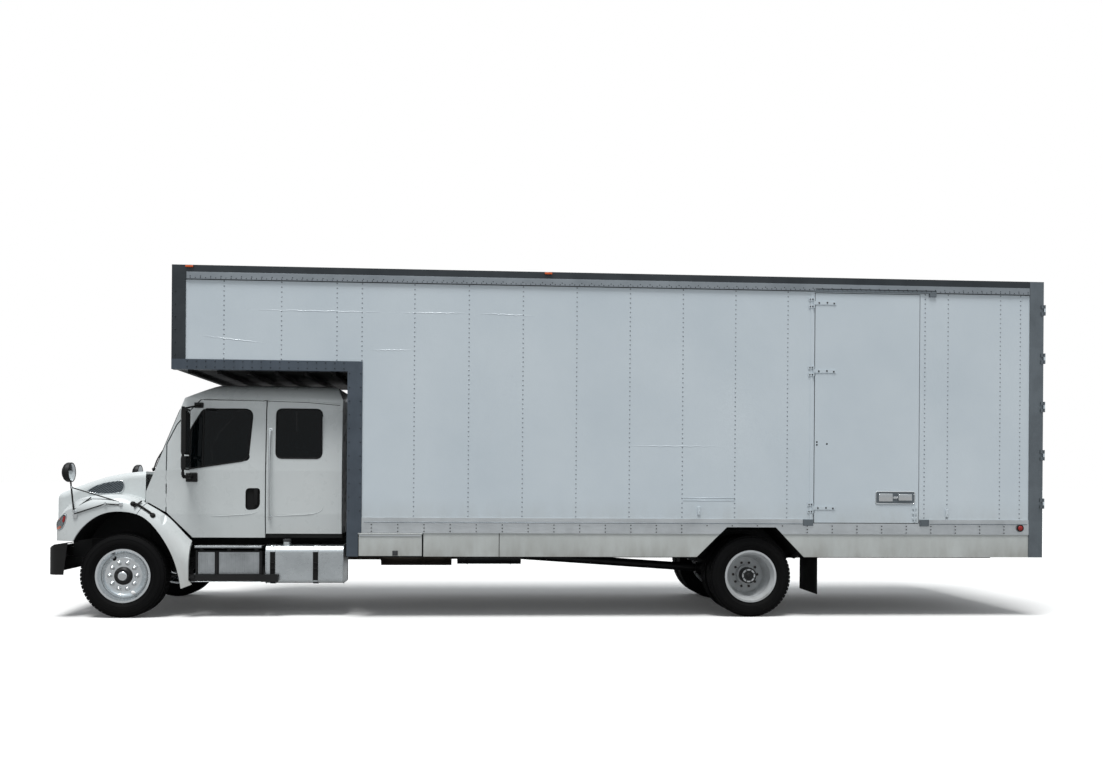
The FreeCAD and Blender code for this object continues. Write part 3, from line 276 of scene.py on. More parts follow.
def roadFilm(material, place, clean, film, top, reach):
    # a film of road dust that thickens below the height top over the distance reach
    split = addNode(material, "ShaderNodeSeparateXYZ", links={"Vector": (place, "Object")})
    height = spread(material, (split, "Z"), top - reach, top, 1.0, 0.0)
    patch = spread(material, noiseAt(material, place, 5.0, 6.0, 0.6, (1, 1, 0.35)), 0.35, 0.75, 0.15)
    amount = addNode(material, "ShaderNodeMath", links={0: height, 1: patch}, operation="MULTIPLY")
    return blendColours(material, (amount, "Value"), clean, film)


def paintMaterial(name, colour, shade, film, top, reach, roughness=0.28, coat=0.6, wave=0.0015):
    # sprayed paint: slow colour drift, a little orange peel, and road film low down
    material, shader, place = newMaterial(name, colour, roughness, **{
        "Coat Weight": coat, "Coat Roughness": 0.12, "Specular IOR Level": 0.5})
    drift = spread(material, noiseAt(material, place, 0.9, 3.0), 0.3, 0.7)
    clean = blendColours(material, drift, colour, shade)
    sheet = bumpFrom(material, noiseAt(material, place, 1.6, 2.0, 0.4, (1, 1, 0.6)), wave, 0.8)
    rub = noiseAt(material, place, 7.0, 5.0)
    plug(material, shader, {
        "Base Color": roadFilm(material, place, clean, film, top, reach),
        "Roughness": spread(material, rub, 0.3, 0.75, roughness - 0.05, roughness + 0.12),
        "Normal": bumpFrom(material, noiseAt(material, place, 160.0, 2.0), 0.0004, 0.25, sheet)})
    return material


def metalMaterial(name, colour, shade, roughness, grain=(1, 1, 1), scale=60.0, depth=0.0004,
                  dirt=0.25):
    # bare or anodised metal: drawn grain, uneven dulling and dirt in patches
    material, shader, place = newMaterial(name, colour, roughness, Metallic=1.0)
    patch = spread(material, noiseAt(material, place, 3.0, 5.0, 0.6), 0.42, 0.72, 0.0, dirt * 2)
    line = noiseAt(material, place, scale, 3.0, 0.6, grain)
    plug(material, shader, {
        "Base Color": blendColours(material, patch, colour, shade),
        "Roughness": spread(material, line, 0.3, 0.7, roughness - 0.06, roughness + 0.1),
        "Normal": bumpFrom(material, line, depth, 0.4)})
    return material


def mouldedMaterial(name, colour, shade, roughness, scale=220.0, depth=0.0006, film=None, shine=0.5):
    # moulded plastic or rubber: fine grain, slightly faded patches
    material, shader, place = newMaterial(name, colour, roughness, **{"Specular IOR Level": shine})
    patch = noiseAt(material, place, 2.5, 5.0, 0.6)
    mixed = blendColours(material, spread(material, patch, 0.35, 0.7), colour, shade)
    if film:
        mixed = roadFilm(material, place, mixed, *film)
    plug(material, shader, {
        "Base Color": mixed,
        "Roughness": spread(material, patch, 0.3, 0.7, roughness - 0.08, roughness + 0.08),
        "Normal": bumpFrom(material, noiseAt(material, place, scale, 2.0), depth, 0.5)})
    return material


def glassMaterial(name, colour, alpha, roughness=0.03):
    # float glass: dark or clear tint, with a gloss that reflects the surroundings
    material, shader, place = newMaterial(name, colour, roughness, **{
        "IOR": 1.5, "Alpha": alpha, "Specular IOR Level": 0.25})
    smear = noiseAt(material, place, 6.0)
    plug(material, shader, {
        "Roughness": spread(material, smear, 0.4, 0.7, roughness, roughness + 0.05)})
    return material


# cab, hood and doors: glossy white with a faint cool drift, greyer near the road
cabEnamel = paintMaterial("BakedWhiteEnamel", "D6DBDB", "CDD3D3", "A9A59C", 1.05, 0.7)
# body panels: pale blue-white sheet that ripples between its rivets
panelEnamel = paintMaterial("PrePaintedAluminiumSheet", "CFD9DF", "C6D1D8", "A9ABA6", 1.35, 0.6,
                            roughness=0.34, coat=0.35, wave=0.004)
# skirts: the same white gone flat and dusty
skirtEnamel = paintMaterial("ChalkedWhitePaint", "CBD0CE", "BCC1BF", "8E8C85", 1.0, 0.35,
                            roughness=0.5, coat=0.1, wave=0.001)
# rear frame and bulkhead posts: dark grey zinc with long streaks; on the sill bead the same dark grey
# paints the shade under the sill cap
galvanisedSteelAndShade = metalMaterial("WeatheredGalvanisedSteelAndPaintedShade", "767D82", "585D61", 0.48,
                               (1, 1, 0.15), 40.0)
noseExtrusion = metalMaterial("AnodisedNoseExtrusion", "5C646D", "4A5158", 0.45, (1, 1, 0.1), 60.0)
# top rail: dark drawn aluminium, grain along the truck
railExtrusion = metalMaterial("DarkAnodisedRail", "45494C", "34373A", 0.5, (0.1, 1, 1), 60.0)
# sill and attic rails: paler aluminium gone dull
sillExtrusion = metalMaterial("MillAluminiumRail", "CBCFD1", "A9ADAF", 0.45, (0.1, 1, 1), 70.0)
tankAluminium = metalMaterial("SatinAluminiumTank", "CDD2D4", "A4A9AB", 0.3, (0.15, 1, 1), 90.0)
# front wheels: bright but a little clouded by brake dust
polishedAluminium = metalMaterial("ForgedPolishedAluminium", "E2E6E8", "BFC4C6", 0.2, (1, 1, 1), 18.0,
                                  0.0001, 0.12)
chromePlate = metalMaterial("ChromePlate", "D6D9DA", "B4B8BA", 0.1, (1, 1, 1), 20.0, 0.0001, 0.1)
# steel wheels: white enamel greyed by road dust
wheelEnamel = paintMaterial("WhiteWheelEnamel", "CFD3D5", "BCC0C2", "6F6D68", 0.95, 0.9,
                            roughness=0.42, coat=0.2, wave=0.0)
# frame, axles and brackets: satin black with brown dust low down
chassisPaint = mouldedMaterial("BlackChassisPaint", "0D0E0F", "151617", 0.5, 30.0, 0.0006,
                               ("201F1D", 0.6, 0.5), shine=0.35)
castIron = mouldedMaterial("CastIron", "3B3C3E", "2B2C2D", 0.62, 60.0, 0.0015)
weatheredSteel = metalMaterial("HeatDulledSteel", "6E665E", "4B443D", 0.5, (0.3, 1, 1), 50.0, 0.0006,
                               0.6)
# bumper and mirror housings: black plastic, faded a little brown
bumperPlastic = mouldedMaterial("MouldedBumperPlastic", "0A0A0A", "10100F", 0.45, 240.0, 0.0004,
                                ("131211", 0.6, 0.4), shine=0.3)
grillePlastic = mouldedMaterial("GreyGrillePlastic", "3A3C3E", "2E3032", 0.4)
tyreRubber = mouldedMaterial("TyreRubber", "060607", "0A0A0A", 0.72, 90.0, 0.0008,
                             ("100F0E", 0.3, 0.3), shine=0.12)
# flaps, seals and liners: matte black rubber; under the attic and below the cab's roof seam the same
# black paints shade
blackRubberAndShade = mouldedMaterial("BlackRubberAndPaintedShade", "070707", "0D0D0D", 0.65, 60.0, 0.0008, shine=0.25)
# side and rear glass: near black green with a clear gloss
windowGlass = glassMaterial("TintedFloatGlass", "04090B", 0.88)
mirrorSilver = metalMaterial("SilveredMirrorGlass", "C9CDCF", "B9BDBF", 0.04, (1, 1, 1), 5.0, 0.0,
                             0.05)
lampLens = glassMaterial("ClearLampLens", "BFC8CC", 0.35)
redLens = mouldedMaterial("RedAcrylicLens", "9E1B16", "8A1410", 0.22, 200.0, 0.0003)
orangeLens = mouldedMaterial("OrangeAcrylicLens", "E0652A", "CF5820", 0.25, 200.0, 0.0003)
seatCloth = mouldedMaterial("WovenSeatCloth", "4A4B4D", "3C3D3F", 0.85, 500.0, 0.0015)
dashVinyl = mouldedMaterial("GrainedDashVinyl", "2E2F31", "262729", 0.6, 300.0, 0.001)


# the frame's own nodes get their finishes
nodeFinishes = {
    cabEnamel: ["hood", "quarter_fenders", "cab_shell", "cab_roof", "left_cab_door",
                "right_cab_door"],
    panelEnamel: ["left_wall", "right_wall", "front_wall", "body_roof", "side_cargo_door",
                  "left_rear_door", "right_rear_door", "side_door_frame"],
    skirtEnamel: ["side_skirts", "locker_lid"],
    galvanisedSteelAndShade: ["rear_frame", "rear_guard"],
    noseExtrusion: ["attic_trim"],
    railExtrusion: ["top_rails"],
    sillExtrusion: ["sill_rails"],
    chassisPaint: ["frame_rails", "crossmembers", "front_axle", "tie_rod", "leaf_springs",
                   "rear_axle", "drive_shafts", "cab_floor", "cab_steps", "tool_locker",
                   "left_knuckle", "right_knuckle", "body_floor"],
    castIron: ["engine_block"],
    weatheredSteel: ["exhaust"],
    bumperPlastic: ["front_bumper", "hood_mirrors", "left_door_mirror", "right_door_mirror"],
    grillePlastic: ["grille"],
    lampLens: ["headlamps"],
    windowGlass: ["cab_glass", "left_door_glass", "right_door_glass"],
    seatCloth: ["seats"],
    dashVinyl: ["dashboard", "steering_wheel"],
    tankAluminium: ["fuel_tank"],
    blackRubberAndShade: ["wheel_liners", "arch_liners"],
    polishedAluminium: ["left_front_wheel", "right_front_wheel"],
    wheelEnamel: ["left_rear_wheels", "right_rear_wheels"],
    tyreRubber: ["left_front_tyre", "right_front_tyre", "left_rear_tyres", "right_rear_tyres"],
}
for material, names in nodeFinishes.items():
    for name in names:
        node = frame["nodes"][name]
        if not node.material_slots:
            node.data.materials.append(material)
        for slot in node.material_slots:
            slot.link = "OBJECT"
            slot.material = material
print("frame finishes set")


# shapes that repeat come from Geometry Nodes trees with named inputs
def makeScatterTree(name, sizes, makeShape):
    # a shape on every point, turned to the point's own facing and realized
    tree = bpy.data.node_groups.new(name, "GeometryNodeTree")
    face = tree.interface
    face.new_socket("Geometry", in_out="INPUT", socket_type="NodeSocketGeometry")
    for label, value in sizes.items():
        kind = "NodeSocketInt" if isinstance(value, int) else "NodeSocketFloat"
        face.new_socket(label, in_out="INPUT", socket_type=kind).default_value = value
    face.new_socket("Material", in_out="INPUT", socket_type="NodeSocketMaterial")
    face.new_socket("Geometry", in_out="OUTPUT", socket_type="NodeSocketGeometry")
    given = addNode(tree, "NodeGroupInput")
    facing = addNode(tree, "GeometryNodeInputNamedAttribute", {"Name": "facing"},
                     data_type="FLOAT_VECTOR")
    align = addNode(tree, "FunctionNodeAlignRotationToVector", None,
                    {"Vector": (facing, "Attribute")}, axis="Z")
    placed = addNode(tree, "GeometryNodeInstanceOnPoints", None,
                     {"Points": (given, "Geometry"), "Instance": (makeShape(tree, given), "Mesh"),
                      "Rotation": (align, "Rotation")})
    real = addNode(tree, "GeometryNodeRealizeInstances", None, {"Geometry": (placed, "Instances")})
    painted = addNode(tree, "GeometryNodeSetMaterial", None,
                      {"Geometry": (real, "Geometry"), "Material": (given, "Material")})
    addNode(tree, "NodeGroupOutput", None, {"Geometry": (painted, "Geometry")})
    return tree


def headShape(tree, given):
    # cone frustum of a rivet, nut or screw
    crown = addNode(tree, "ShaderNodeMath", None, {0: (given, "Radius"), 1: (given, "Crown")},
                    operation="MULTIPLY")
    return addNode(tree, "GeometryNodeMeshCone", None,
                   {"Vertices": (given, "Sides"), "Radius Top": (crown, 0),
                    "Radius Bottom": (given, "Radius"), "Depth": (given, "Height")})


def blockShape(tree, given):
    # tread block, its length along the tyre's turn
    size = addNode(tree, "ShaderNodeCombineXYZ", None,
                   {"X": (given, "Length"), "Y": (given, "Width"), "Z": (given, "Deep")})
    return addNode(tree, "GeometryNodeMeshCube", None, {"Size": (size, 0)})


headTree = makeScatterTree("raisedHeads", {"Radius": 0.008, "Crown": 0.5, "Height": 0.004, "Sides": 8},
                           headShape)
blockTree = makeScatterTree("treadBlocks", {"Length": 0.03, "Width": 0.03, "Deep": 0.01}, blockShape)


def scatter(name, tree, places, values):
    # puts a tree's shape on (point, facing) places and leaves only the plain mesh it made
    points = bpy.data.meshes.new(name + "Places")
    points.from_pydata([tuple(point) for point, facing in places], [], [])
    marks = points.attributes.new("facing", "FLOAT_VECTOR", "POINT")
    for mark, (point, facing) in zip(marks.data, places):
        mark.vector = facing
    holder = bpy.data.objects.new(name, points)
    bpy.context.scene.collection.objects.link(holder)
    modifier = holder.modifiers.new("made", "NODES")
    modifier.node_group = tree
    for item in tree.interface.items_tree:
        if item.in_out == "INPUT" and item.name in values:
            modifier[item.identifier] = values[item.name]
    bpy.context.view_layer.update()
    graph = bpy.context.evaluated_depsgraph_get()
    mesh = bpy.data.meshes.new_from_object(holder.evaluated_get(graph))
    mesh.name = name
    bpy.data.objects.remove(holder)
    if "facing" in mesh.attributes:
        mesh.attributes.remove(mesh.attributes["facing"])
    return mesh


def addHeads(name, places, material, body, slot, radius, height, crown=0.5, count=8, smooth=True):
    # every head becomes part of one plain mesh
    mesh = scatter(name, headTree, places, {"Radius": radius, "Crown": crown, "Height": height,
                                            "Sides": count, "Material": material})
    return addPiece(name, mesh, material, body, smooth)


def lineOf(first, last, pitch, facing=outLeft):
    # evenly pitched places from one point to another
    first, last = Vector(first), Vector(last)
    count = max(1, round((last - first).length / pitch))
    return [(first + (last - first) * i / count, facing) for i in range(count + 1)]


def bothSides(places):
    return places + [((p[0], -p[1], p[2]), (f[0], -f[1], f[2])) for p, f in places]


# places on the frame's own surfaces
def skinTree(names):
    corners, faces = [], []
    for name in names:
        mesh = frame["nodes"][name].data
        start = len(corners)
        corners += [vert.co.copy() for vert in mesh.vertices]
        faces += [[start + i for i in face.vertices] for face in mesh.polygons]
    return BVHTree.FromPolygons(corners, faces)


def sidePoint(tree, station, z, lift=0.0, fallback=1.03):
    # where a line from the truck's left meets the surface, lifted off along its normal
    x = atStation(station)
    spot, normal = tree.ray_cast(Vector((x, 2.0, z)), Vector((0, -1, 0)))[:2]
    if spot is None:
        return Vector((x, fallback, z)), Vector(outLeft)
    if normal.y < 0:
        normal = -normal
    return spot + normal * lift, normal


def laidOn(tree, pairs, lift=0.0):
    return [sidePoint(tree, station, z, lift)[0] for station, z in pairs]


def shortSteps(outline, step, closed=True):
    # an outline of pairs with more places along its edges
    spots = []
    count = len(outline)
    for i in range(count if closed else count - 1):
        a, b = outline[i], outline[(i + 1) % count]
        pieces = max(1, int(math.dist(a, b) / step))
        spots += [(a[0] + (b[0] - a[0]) * k / pieces, a[1] + (b[1] - a[1]) * k / pieces)
                  for k in range(pieces)]
    return spots if closed else spots + [outline[-1]]


def roundedOutline(corners, radii, steps=6):
    # polygon with each corner cut by an arc of its own radius
    result = []
    count = len(corners)
    for i in range(count):
        here, before, after = (Vector(corners[k % count]) for k in (i, i - 1, i + 1))
        radius = radii[i] if isinstance(radii, tuple) else radii
        start = here + (before - here).normalized() * radius
        end = here + (after - here).normalized() * radius
        for k in range(steps + 1):
            t = k / steps
            result.append(tuple(start * (1 - t) ** 2 + here * 2 * t * (1 - t) + end * t ** 2))
    return result


def facePatch(work, tree, outline, lift, deep):
    # a thin plate over the outline that follows the surface
    top = laidOn(tree, outline, lift)
    bridge(work, [top, [point - Vector((0, deep, 0)) for point in top]])


# van body: rivets, rails, lamps
panelFace = nodeBox("left_wall")[1].y
trimFace = nodeBox("sill_rails")[1].y
bodySizes = {"rivet": (0.0085, 0.004, 0.45, 7), "pitch": 0.052,
             "atticColumns": (1.891, 2.515, 3.12, 3.395),
             "mainFirst": 3.975, "postPitch": 0.6045, "columns": 8,
             "rearColumns": (9.816, 10.089, 10.713, 10.952), "doorColumns": (8.86, 9.42),
             "rivetTop": 3.718, "atticBase": 2.87, "rivetLow": 1.147}


def buildWallRivets():
    # upright rows where the sheets meet the inside posts, on both walls
    size = bodySizes

    def rowAt(station, low):
        x = atStation(station)
        return lineOf((x, panelFace, low), (x, panelFace, size["rivetTop"]), size["pitch"])
    places = []
    for station in size["atticColumns"]:
        places += bothSides(rowAt(station, size["atticBase"]))
    main = [size["mainFirst"] + size["postPitch"] * i for i in range(size["columns"])]
    for station in main + list(size["rearColumns"]):
        places += bothSides(rowAt(station, size["rivetLow"]))
    for station in size["doorColumns"]:  # the right wall has no side door
        rows = bothSides(rowAt(station, size["rivetLow"]))
        places += rows[len(rows) // 2:]
    # the rivets take the darker band aluminium, painted shade standing for the shadow under each head
    addHeads("wallRivetsPaintedShade", places, bandAndRivetShadeAluminium, "chassis", "body_panel", *size["rivet"])


railSizes = {"low": 3.736, "high": 3.812, "thick": 0.0035, "frontGap": 0.16, "rearGap": 0.01,
             "inside": 0.002, "ends": (0.02, 0.04), "rows": ((0.012, 0.055), (0.03, 0.11)),
             "rivet": (0.0065, 0.0035, 0.45, 7)}


def buildRailBand():
    # the top rail's paler lower band and the rivets along it
    size = railSizes
    front = nodeBox("top_rails")[1].x - size["frontGap"]
    rear = nodeBox("rear_frame")[1].x + size["rearGap"]
    face = trimFace + size["thick"]
    work = bmesh.new()
    for side in (1, -1):
        addBox(work, (rear, side * (trimFace - size["inside"]), size["low"]),
               (front, side * face, size["high"]), 0.001, 1)
    addPiece("railBand", work, bandAndRivetShadeAluminium, "chassis", False)
    places = []
    rearEnd, frontEnd = size["ends"]
    for lift, pitch in size["rows"]:
        z = size["low"] + lift
        places += bothSides(lineOf((front - frontEnd, face, z), (rear + rearEnd, face, z), pitch))
    addHeads("railRivets", places, railExtrusion, "chassis", "trim_aluminium", *size["rivet"])


sillSizes = {"first": 3.513, "pitch": 0.29, "end": 11.0, "heights": (0.974, 1.012, 1.05),
             "wheelGap": (7.2, 8.42), "bolt": (0.0075, 0.005, 0.6, 6),
             "beads": ((3.43, 8.39), (9.88, 11.04)), "bead": (1.071, 1.079), "beadOut": (-0.001, 0.006)}


def buildSill():
    # the sill rail's bolt groups, and the bead pressed along under its cap, in dark grey that paints
    # the shade line beneath the cap
    size = sillSizes
    places = []
    station = size["first"]
    while station < size["end"]:
        for z in size["heights"]:
            if not (size["wheelGap"][0] < station < size["wheelGap"][1] and z < size["heights"][-1]):
                places.append(((atStation(station), trimFace, z), outLeft))
        station += size["pitch"]
    bead = bmesh.new()
    for run in size["beads"]:
        addSpan(bead, run, [trimFace + lift for lift in size["beadOut"]], size["bead"], 0.002, 1)
    mirrorWork(bead)
    # the bead's darker grey is painted shade under the sill cap
    addPiece("sillBeadPaintedShade", bead, galvanisedSteelAndShade, "chassis", False)
    addHeads("sillBolts", bothSides(places), castIron, "chassis", "dark_steel", *size["bolt"])


postSizes = {"columns": ((3.262, 1.2, 2.72, 0.152), (3.385, 1.2, 2.72, 0.152), (1.37, 2.9, 3.6, 0.14)),
             "rows": ((2.772, 1.5, 3.2, 0.1), (2.835, 1.5, 3.2, 0.1)), "bolt": (0.0075, 0.004, 0.5, 7)}


def buildPostFasteners():
    # rows up the bulkhead post and the nose, and along the attic's lower rail
    places = []
    for station, low, high, pitch in postSizes["columns"]:
        x = atStation(station)
        places += lineOf((x, trimFace, low), (x, trimFace, high), pitch)
    for z, first, last, pitch in postSizes["rows"]:
        places += lineOf((atStation(first), trimFace, z), (atStation(last), trimFace, z), pitch)
    addHeads("postBolts", bothSides(places), railExtrusion, "chassis", "trim_aluminium",
             *postSizes["bolt"])


markerSizes = {
    "stations": (1.52, 5.462), "height": 3.872, "half": (0.042, 0.011), "deep": 0.012, "round": 0.6,
    "front": (-1.1, -0.15, 0.0, 0.15, 1.1), "frontX": (-0.004, 0.01), "frontHalf": 0.035,
    "frontHeights": (3.8, 3.835), "frontBevel": 0.008, "rear": (10.955, 1.033),
    "lens": ((0, 0), (0, 0.03), (0.006, 0.03), (0.011, 0.024), (0.013, 0.0)),
    "rim": ((0, 0.029), (0, 0.041), (0.007, 0.041), (0.009, 0.034), (0.007, 0.029))}


def buildMarkers():
    # orange clearance lamps at the top rail, red ones low at the rear
    size = markerSizes
    halfX, halfZ = size["half"]
    work = bmesh.new()
    for station in size["stations"]:
        addSpan(work, (station - halfX, station + halfX), (trimFace, trimFace + size["deep"]),
                (size["height"] - halfZ, size["height"] + halfZ), halfZ * size["round"], 3)
    mirrorWork(work)
    front = nodeBox("top_rails")[1].x
    for y in size["front"]:
        addBox(work, *zip([front + x for x in size["frontX"]],
                          (y - size["frontHalf"], y + size["frontHalf"]), size["frontHeights"]),
               size["frontBevel"], 3)
    addPiece("clearanceLamps", work, orangeLens, "chassis")
    station, z = size["rear"]
    for name, profile, material, slot in (
            ("rearSideMarkers", size["lens"], redLens, "lamp_glass"),
            ("markerRims", size["rim"], blackRubberAndShade, "black_rubber")):
        work = bmesh.new()
        for side in (1, -1):
            addLathe(work, profile, (atStation(station), side * trimFace, z), (0, side, 0), 32)
        addPiece(name, work, material, "chassis")


# straight pressings, and shallow folds as (first, last) stations with their heights
foldSizes = {"pressings": (1.365, 1.335), "pressed": (7.007, 7.605), "bar": 0.004, "sink": 0.0075,
             "thin": 0.0078, "swell": 0.0022, "steps": 24, "waver": 0.004, "waves": 1.9,
             "folds": ((1.607, 2.376, 3.12, 3.04), (2.14, 3.75, 3.41, 3.405), (3.8, 4.6, 3.405, 3.412),
                       (4.65, 5.34, 3.412, 3.395), (3.45, 3.98, 2.984, 2.99),
                       (6.284, 7.5, 1.945, 1.95))}


def buildCreases():
    # stiffening lines and folds in the wall sheets, standing a few millimetres out
    size = foldSizes
    count = size["steps"]
    work = bmesh.new()
    for z in size["pressings"]:
        for side in (1, -1):
            spots = [(atStation(s), side * panelFace, z) for s in size["pressed"]]
            addTube(work, spots, size["bar"], 8)
    for first, last, low, high in size["folds"]:
        for side in (1, -1):
            spots = [(atStation(first + (last - first) * k / count), side * (panelFace - size["sink"]),
                      low + (high - low) * k / count + size["waver"] * math.sin(k * size["waves"]))
                     for k in range(count + 1)]
            thick = [size["thin"] + size["swell"] * math.sin(math.pi * k / count)
                     for k in range(count + 1)]
            addTube(work, spots, thick)
    addPiece("pressedLines", work, panelEnamel, "chassis")


fittingSizes = {
    # stations, how far out from the wall, heights, bevel
    "dripRail": (((8.52, 9.94), (0.0, 0.022), (3.752, 3.764), 0.002),
                 ((8.52, 9.94), (0.018, 0.022), (3.728, 3.764), 0.0015),
                 ((9.86, 9.94), (0.0, 0.02), (3.69, 3.752), 0.003)),
    "brackets": ((7.19, 1.22), (10.085, 1.205)), "bracket": (0.018, 0.014, 0.045, 0.003),
    "hook": ((0.01, -0.02), (0.014, -0.01), (0.01, 0.004)), "hookBehind": 0.004, "hookRadius": 0.005,
    "sillEnds": ((8.395, 8.51), (9.762, 9.87)), "sillEnd": ((-0.004, 0.004), (1.052, 1.128), 0.002)}


def buildBodyFittings():
    # drip rail over the side door, small sill brackets and the grey notch pieces
    size = fittingSizes
    rail, brackets, ends = (bmesh.new() for k in range(3))
    for stations, outward, heights, bevel in size["dripRail"]:
        addSpan(rail, stations, [panelFace + lift for lift in outward], heights, bevel, 1)
    halfX, thick, halfZ, bevel = size["bracket"]
    for station, z in size["brackets"]:
        addSpan(brackets, (station - halfX, station + halfX), (panelFace, panelFace + thick),
                (z - halfZ, z + halfZ), bevel, 1)
        hook = [(atStation(station) - size["hookBehind"], panelFace + reach, z + lift)
                for reach, lift in size["hook"]]
        addTube(brackets, hook, size["hookRadius"], 8)
    mirrorWork(brackets)
    outward, heights, bevel = size["sillEnd"]
    for run in size["sillEnds"]:
        addSpan(ends, run, [trimFace + lift for lift in outward], heights, bevel, 1)
    addPiece("dripRail", rail, galvanisedSteelAndShade, "chassis", False)
    addPiece("wallBrackets", brackets, panelEnamel, "chassis", False)
    addPiece("doorSillEnds", ends, galvanisedSteelAndShade, "chassis", False)


# the rail's lower band and the wall rivets: paler drawn aluminium; on the rivets its tone, darker than
# the wall sheet, is painted shade under each head
bandAndRivetShadeAluminium = metalMaterial("BrightRailBandAndRivetShade", "969CA1", "7B8186", 0.42, (0.1, 1, 1), 60.0)
buildWallRivets()
buildRailBand()
buildSill()
buildPostFasteners()
buildMarkers()
buildCreases()
buildBodyFittings()
print("van body dressed")


soffitSizes = {"floor": 2.755, "edge": 0.012, "rear": 3.238, "beams": 6, "beamInset": 0.16,
               "beamEnd": 0.1, "facing": (0.6, 1.16), "facingHeights": (1.0, 2.74),
               "facingThick": 0.012, "sheet": (0.0035, 0.0005),
               # half width, from and to below the floor, bevel of a beam and of its flange
               "beam": ((0.022, 0.048, 0.003, 0.003), (0.042, 0.0075, 0.003, 0.0))}


def buildSoffit():
    # dark sheet and cross beams under the attic's floor, black to paint the shade under the overhang,
    # and the bulkhead's facing
    size = soffitSizes
    high = nodeBox("attic_trim")[1]
    floor = size["floor"]
    front, rear = high.x - size["edge"], atStation(size["rear"])
    half = high.y - size["edge"]
    work = bmesh.new()
    addBox(work, *zip((rear, front), (-half, half), [floor - drop for drop in size["sheet"]]))
    first, run = front - size["beamInset"], front - rear - 2 * size["beamInset"]
    for i in range(size["beams"]):
        x = first - run * i / (size["beams"] - 1)
        for wide, low, top, bevel in size["beam"]:
            addBox(work, (x - wide, -half + size["beamEnd"], floor - low),
                   (x + wide, half - size["beamEnd"], floor - top), bevel, 1)
    # the black sheet and beams are painted shade where the attic floor's underside lies in shadow
    addPiece("atticSoffitPaintedShade", work, blackRubberAndShade, "chassis", False)
    work = bmesh.new()
    addSpan(work, (size["rear"], size["rear"] - size["facingThick"]), size["facing"],
            size["facingHeights"], 0.002, 1)
    mirrorWork(work)
    addPiece("bulkheadFacing", work, galvanisedSteelAndShade, "chassis", False)


buildSoffit()
print("attic underside dressed")


# tyres and wheels
tyreSizes = {
    "radius": 0.465, "blocks": 62, "blockDeep": 0.0105, "sink": 0.0012, "turns": 96,
    "firstBlock": 0.27, "ribInside": 0.002, "ribOutside": 0.0018, "ribCrest": 0.6,
    "half": ((0.094, 0.2868), (0.1005, 0.289), (0.102, 0.3), (0.106, 0.306), (0.1165, 0.325),
             (0.1245, 0.352), (0.1272, 0.372), (0.1262, 0.395), (0.1215, 0.418), (0.114, 0.437),
             (0.1085, 0.447), (0.1, 0.4525), (0.06, 0.4545)),
    "inner": ((-0.09, 0.2945), (0.09, 0.2945)),
    "ribs": ((0.1235, 0.3435, 0.0035), (0.1262, 0.3605, 0.0025), (0.1249, 0.4085, 0.003),
             (0.112, 0.4395, 0.003)),
    # rows across the tread: place from the middle, block width, share of the pitch
    "rows": ((-0.09, 0.031, 0.8), (-0.0455, 0.034, 0.86), (0.0, 0.034, 0.88), (0.0455, 0.034, 0.86),
             (0.09, 0.031, 0.8)),
    "frontMiddles": (1.05,), "rearMiddles": (1.085, 0.773)}


def treadRow(name, x, middles, index):
    # one ring of blocks for each tyre in middles
    size = tyreSizes
    across, width, share = size["rows"][index]
    count = size["blocks"]
    places = []
    for middle in middles:
        for k in range(count):
            turn = 2 * math.pi * (k + 0.5 * (index % 2) + size["firstBlock"]) / count
            way = Vector((math.sin(turn), 0, math.cos(turn)))
            reach = size["radius"] - size["blockDeep"] / 2 - size["sink"]
            places.append((Vector((x, middle + across, axleZ)) + way * reach, way))
    pitch = 2 * math.pi * size["radius"] / count
    return scatter(name, blockTree, places, {"Length": pitch * share, "Width": width,
                                             "Deep": size["blockDeep"], "Material": tyreRubber})


def buildTyres(node, body, x, middles):
    # carcass with ribbed sidewalls and rows of tread blocks in one piece
    size = tyreSizes
    work = bmesh.new()
    outline = [*size["half"], *[(-a, r) for a, r in reversed(size["half"])], *size["inner"]]
    for middle in middles:
        centre = (x, middle, axleZ)
        addLathe(work, outline, centre, outLeft, size["turns"])
        for at, radius, wide in size["ribs"]:
            for side in (1, -1):
                low, top = side * (at - size["ribInside"]), side * (at + size["ribOutside"])
                crest = wide * size["ribCrest"]
                ring = [(low, radius - wide), (top, radius - crest), (top, radius + crest),
                        (low, radius + wide)]
                addLathe(work, ring, centre, outLeft, size["turns"])
    for index in range(len(size["rows"])):
        made = treadRow(node + "Row", x, middles, index)
        work.from_mesh(made)
        bpy.data.meshes.remove(made)
    piece = addPiece(node + "Treaded", work, tyreRubber, body, sharp=38)
    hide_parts(node)


for side, sign in sides:
    buildTyres(side + "_front_tyre", side + "_front_wheel", frontAxleX,
               [sign * y for y in tyreSizes["frontMiddles"]])
    buildTyres(side + "_rear_tyres", side + "_rear_wheels", rearAxleX,
               [sign * y for y in tyreSizes["rearMiddles"]])
print("tyres built")


def circlePlaces(x, y, radius, count, facing):
    turns = [2 * math.pi * (k + 0.5) / count for k in range(count)]
    return [((x + radius * math.sin(turn), y, axleZ + radius * math.cos(turn)), facing)
            for turn in turns]


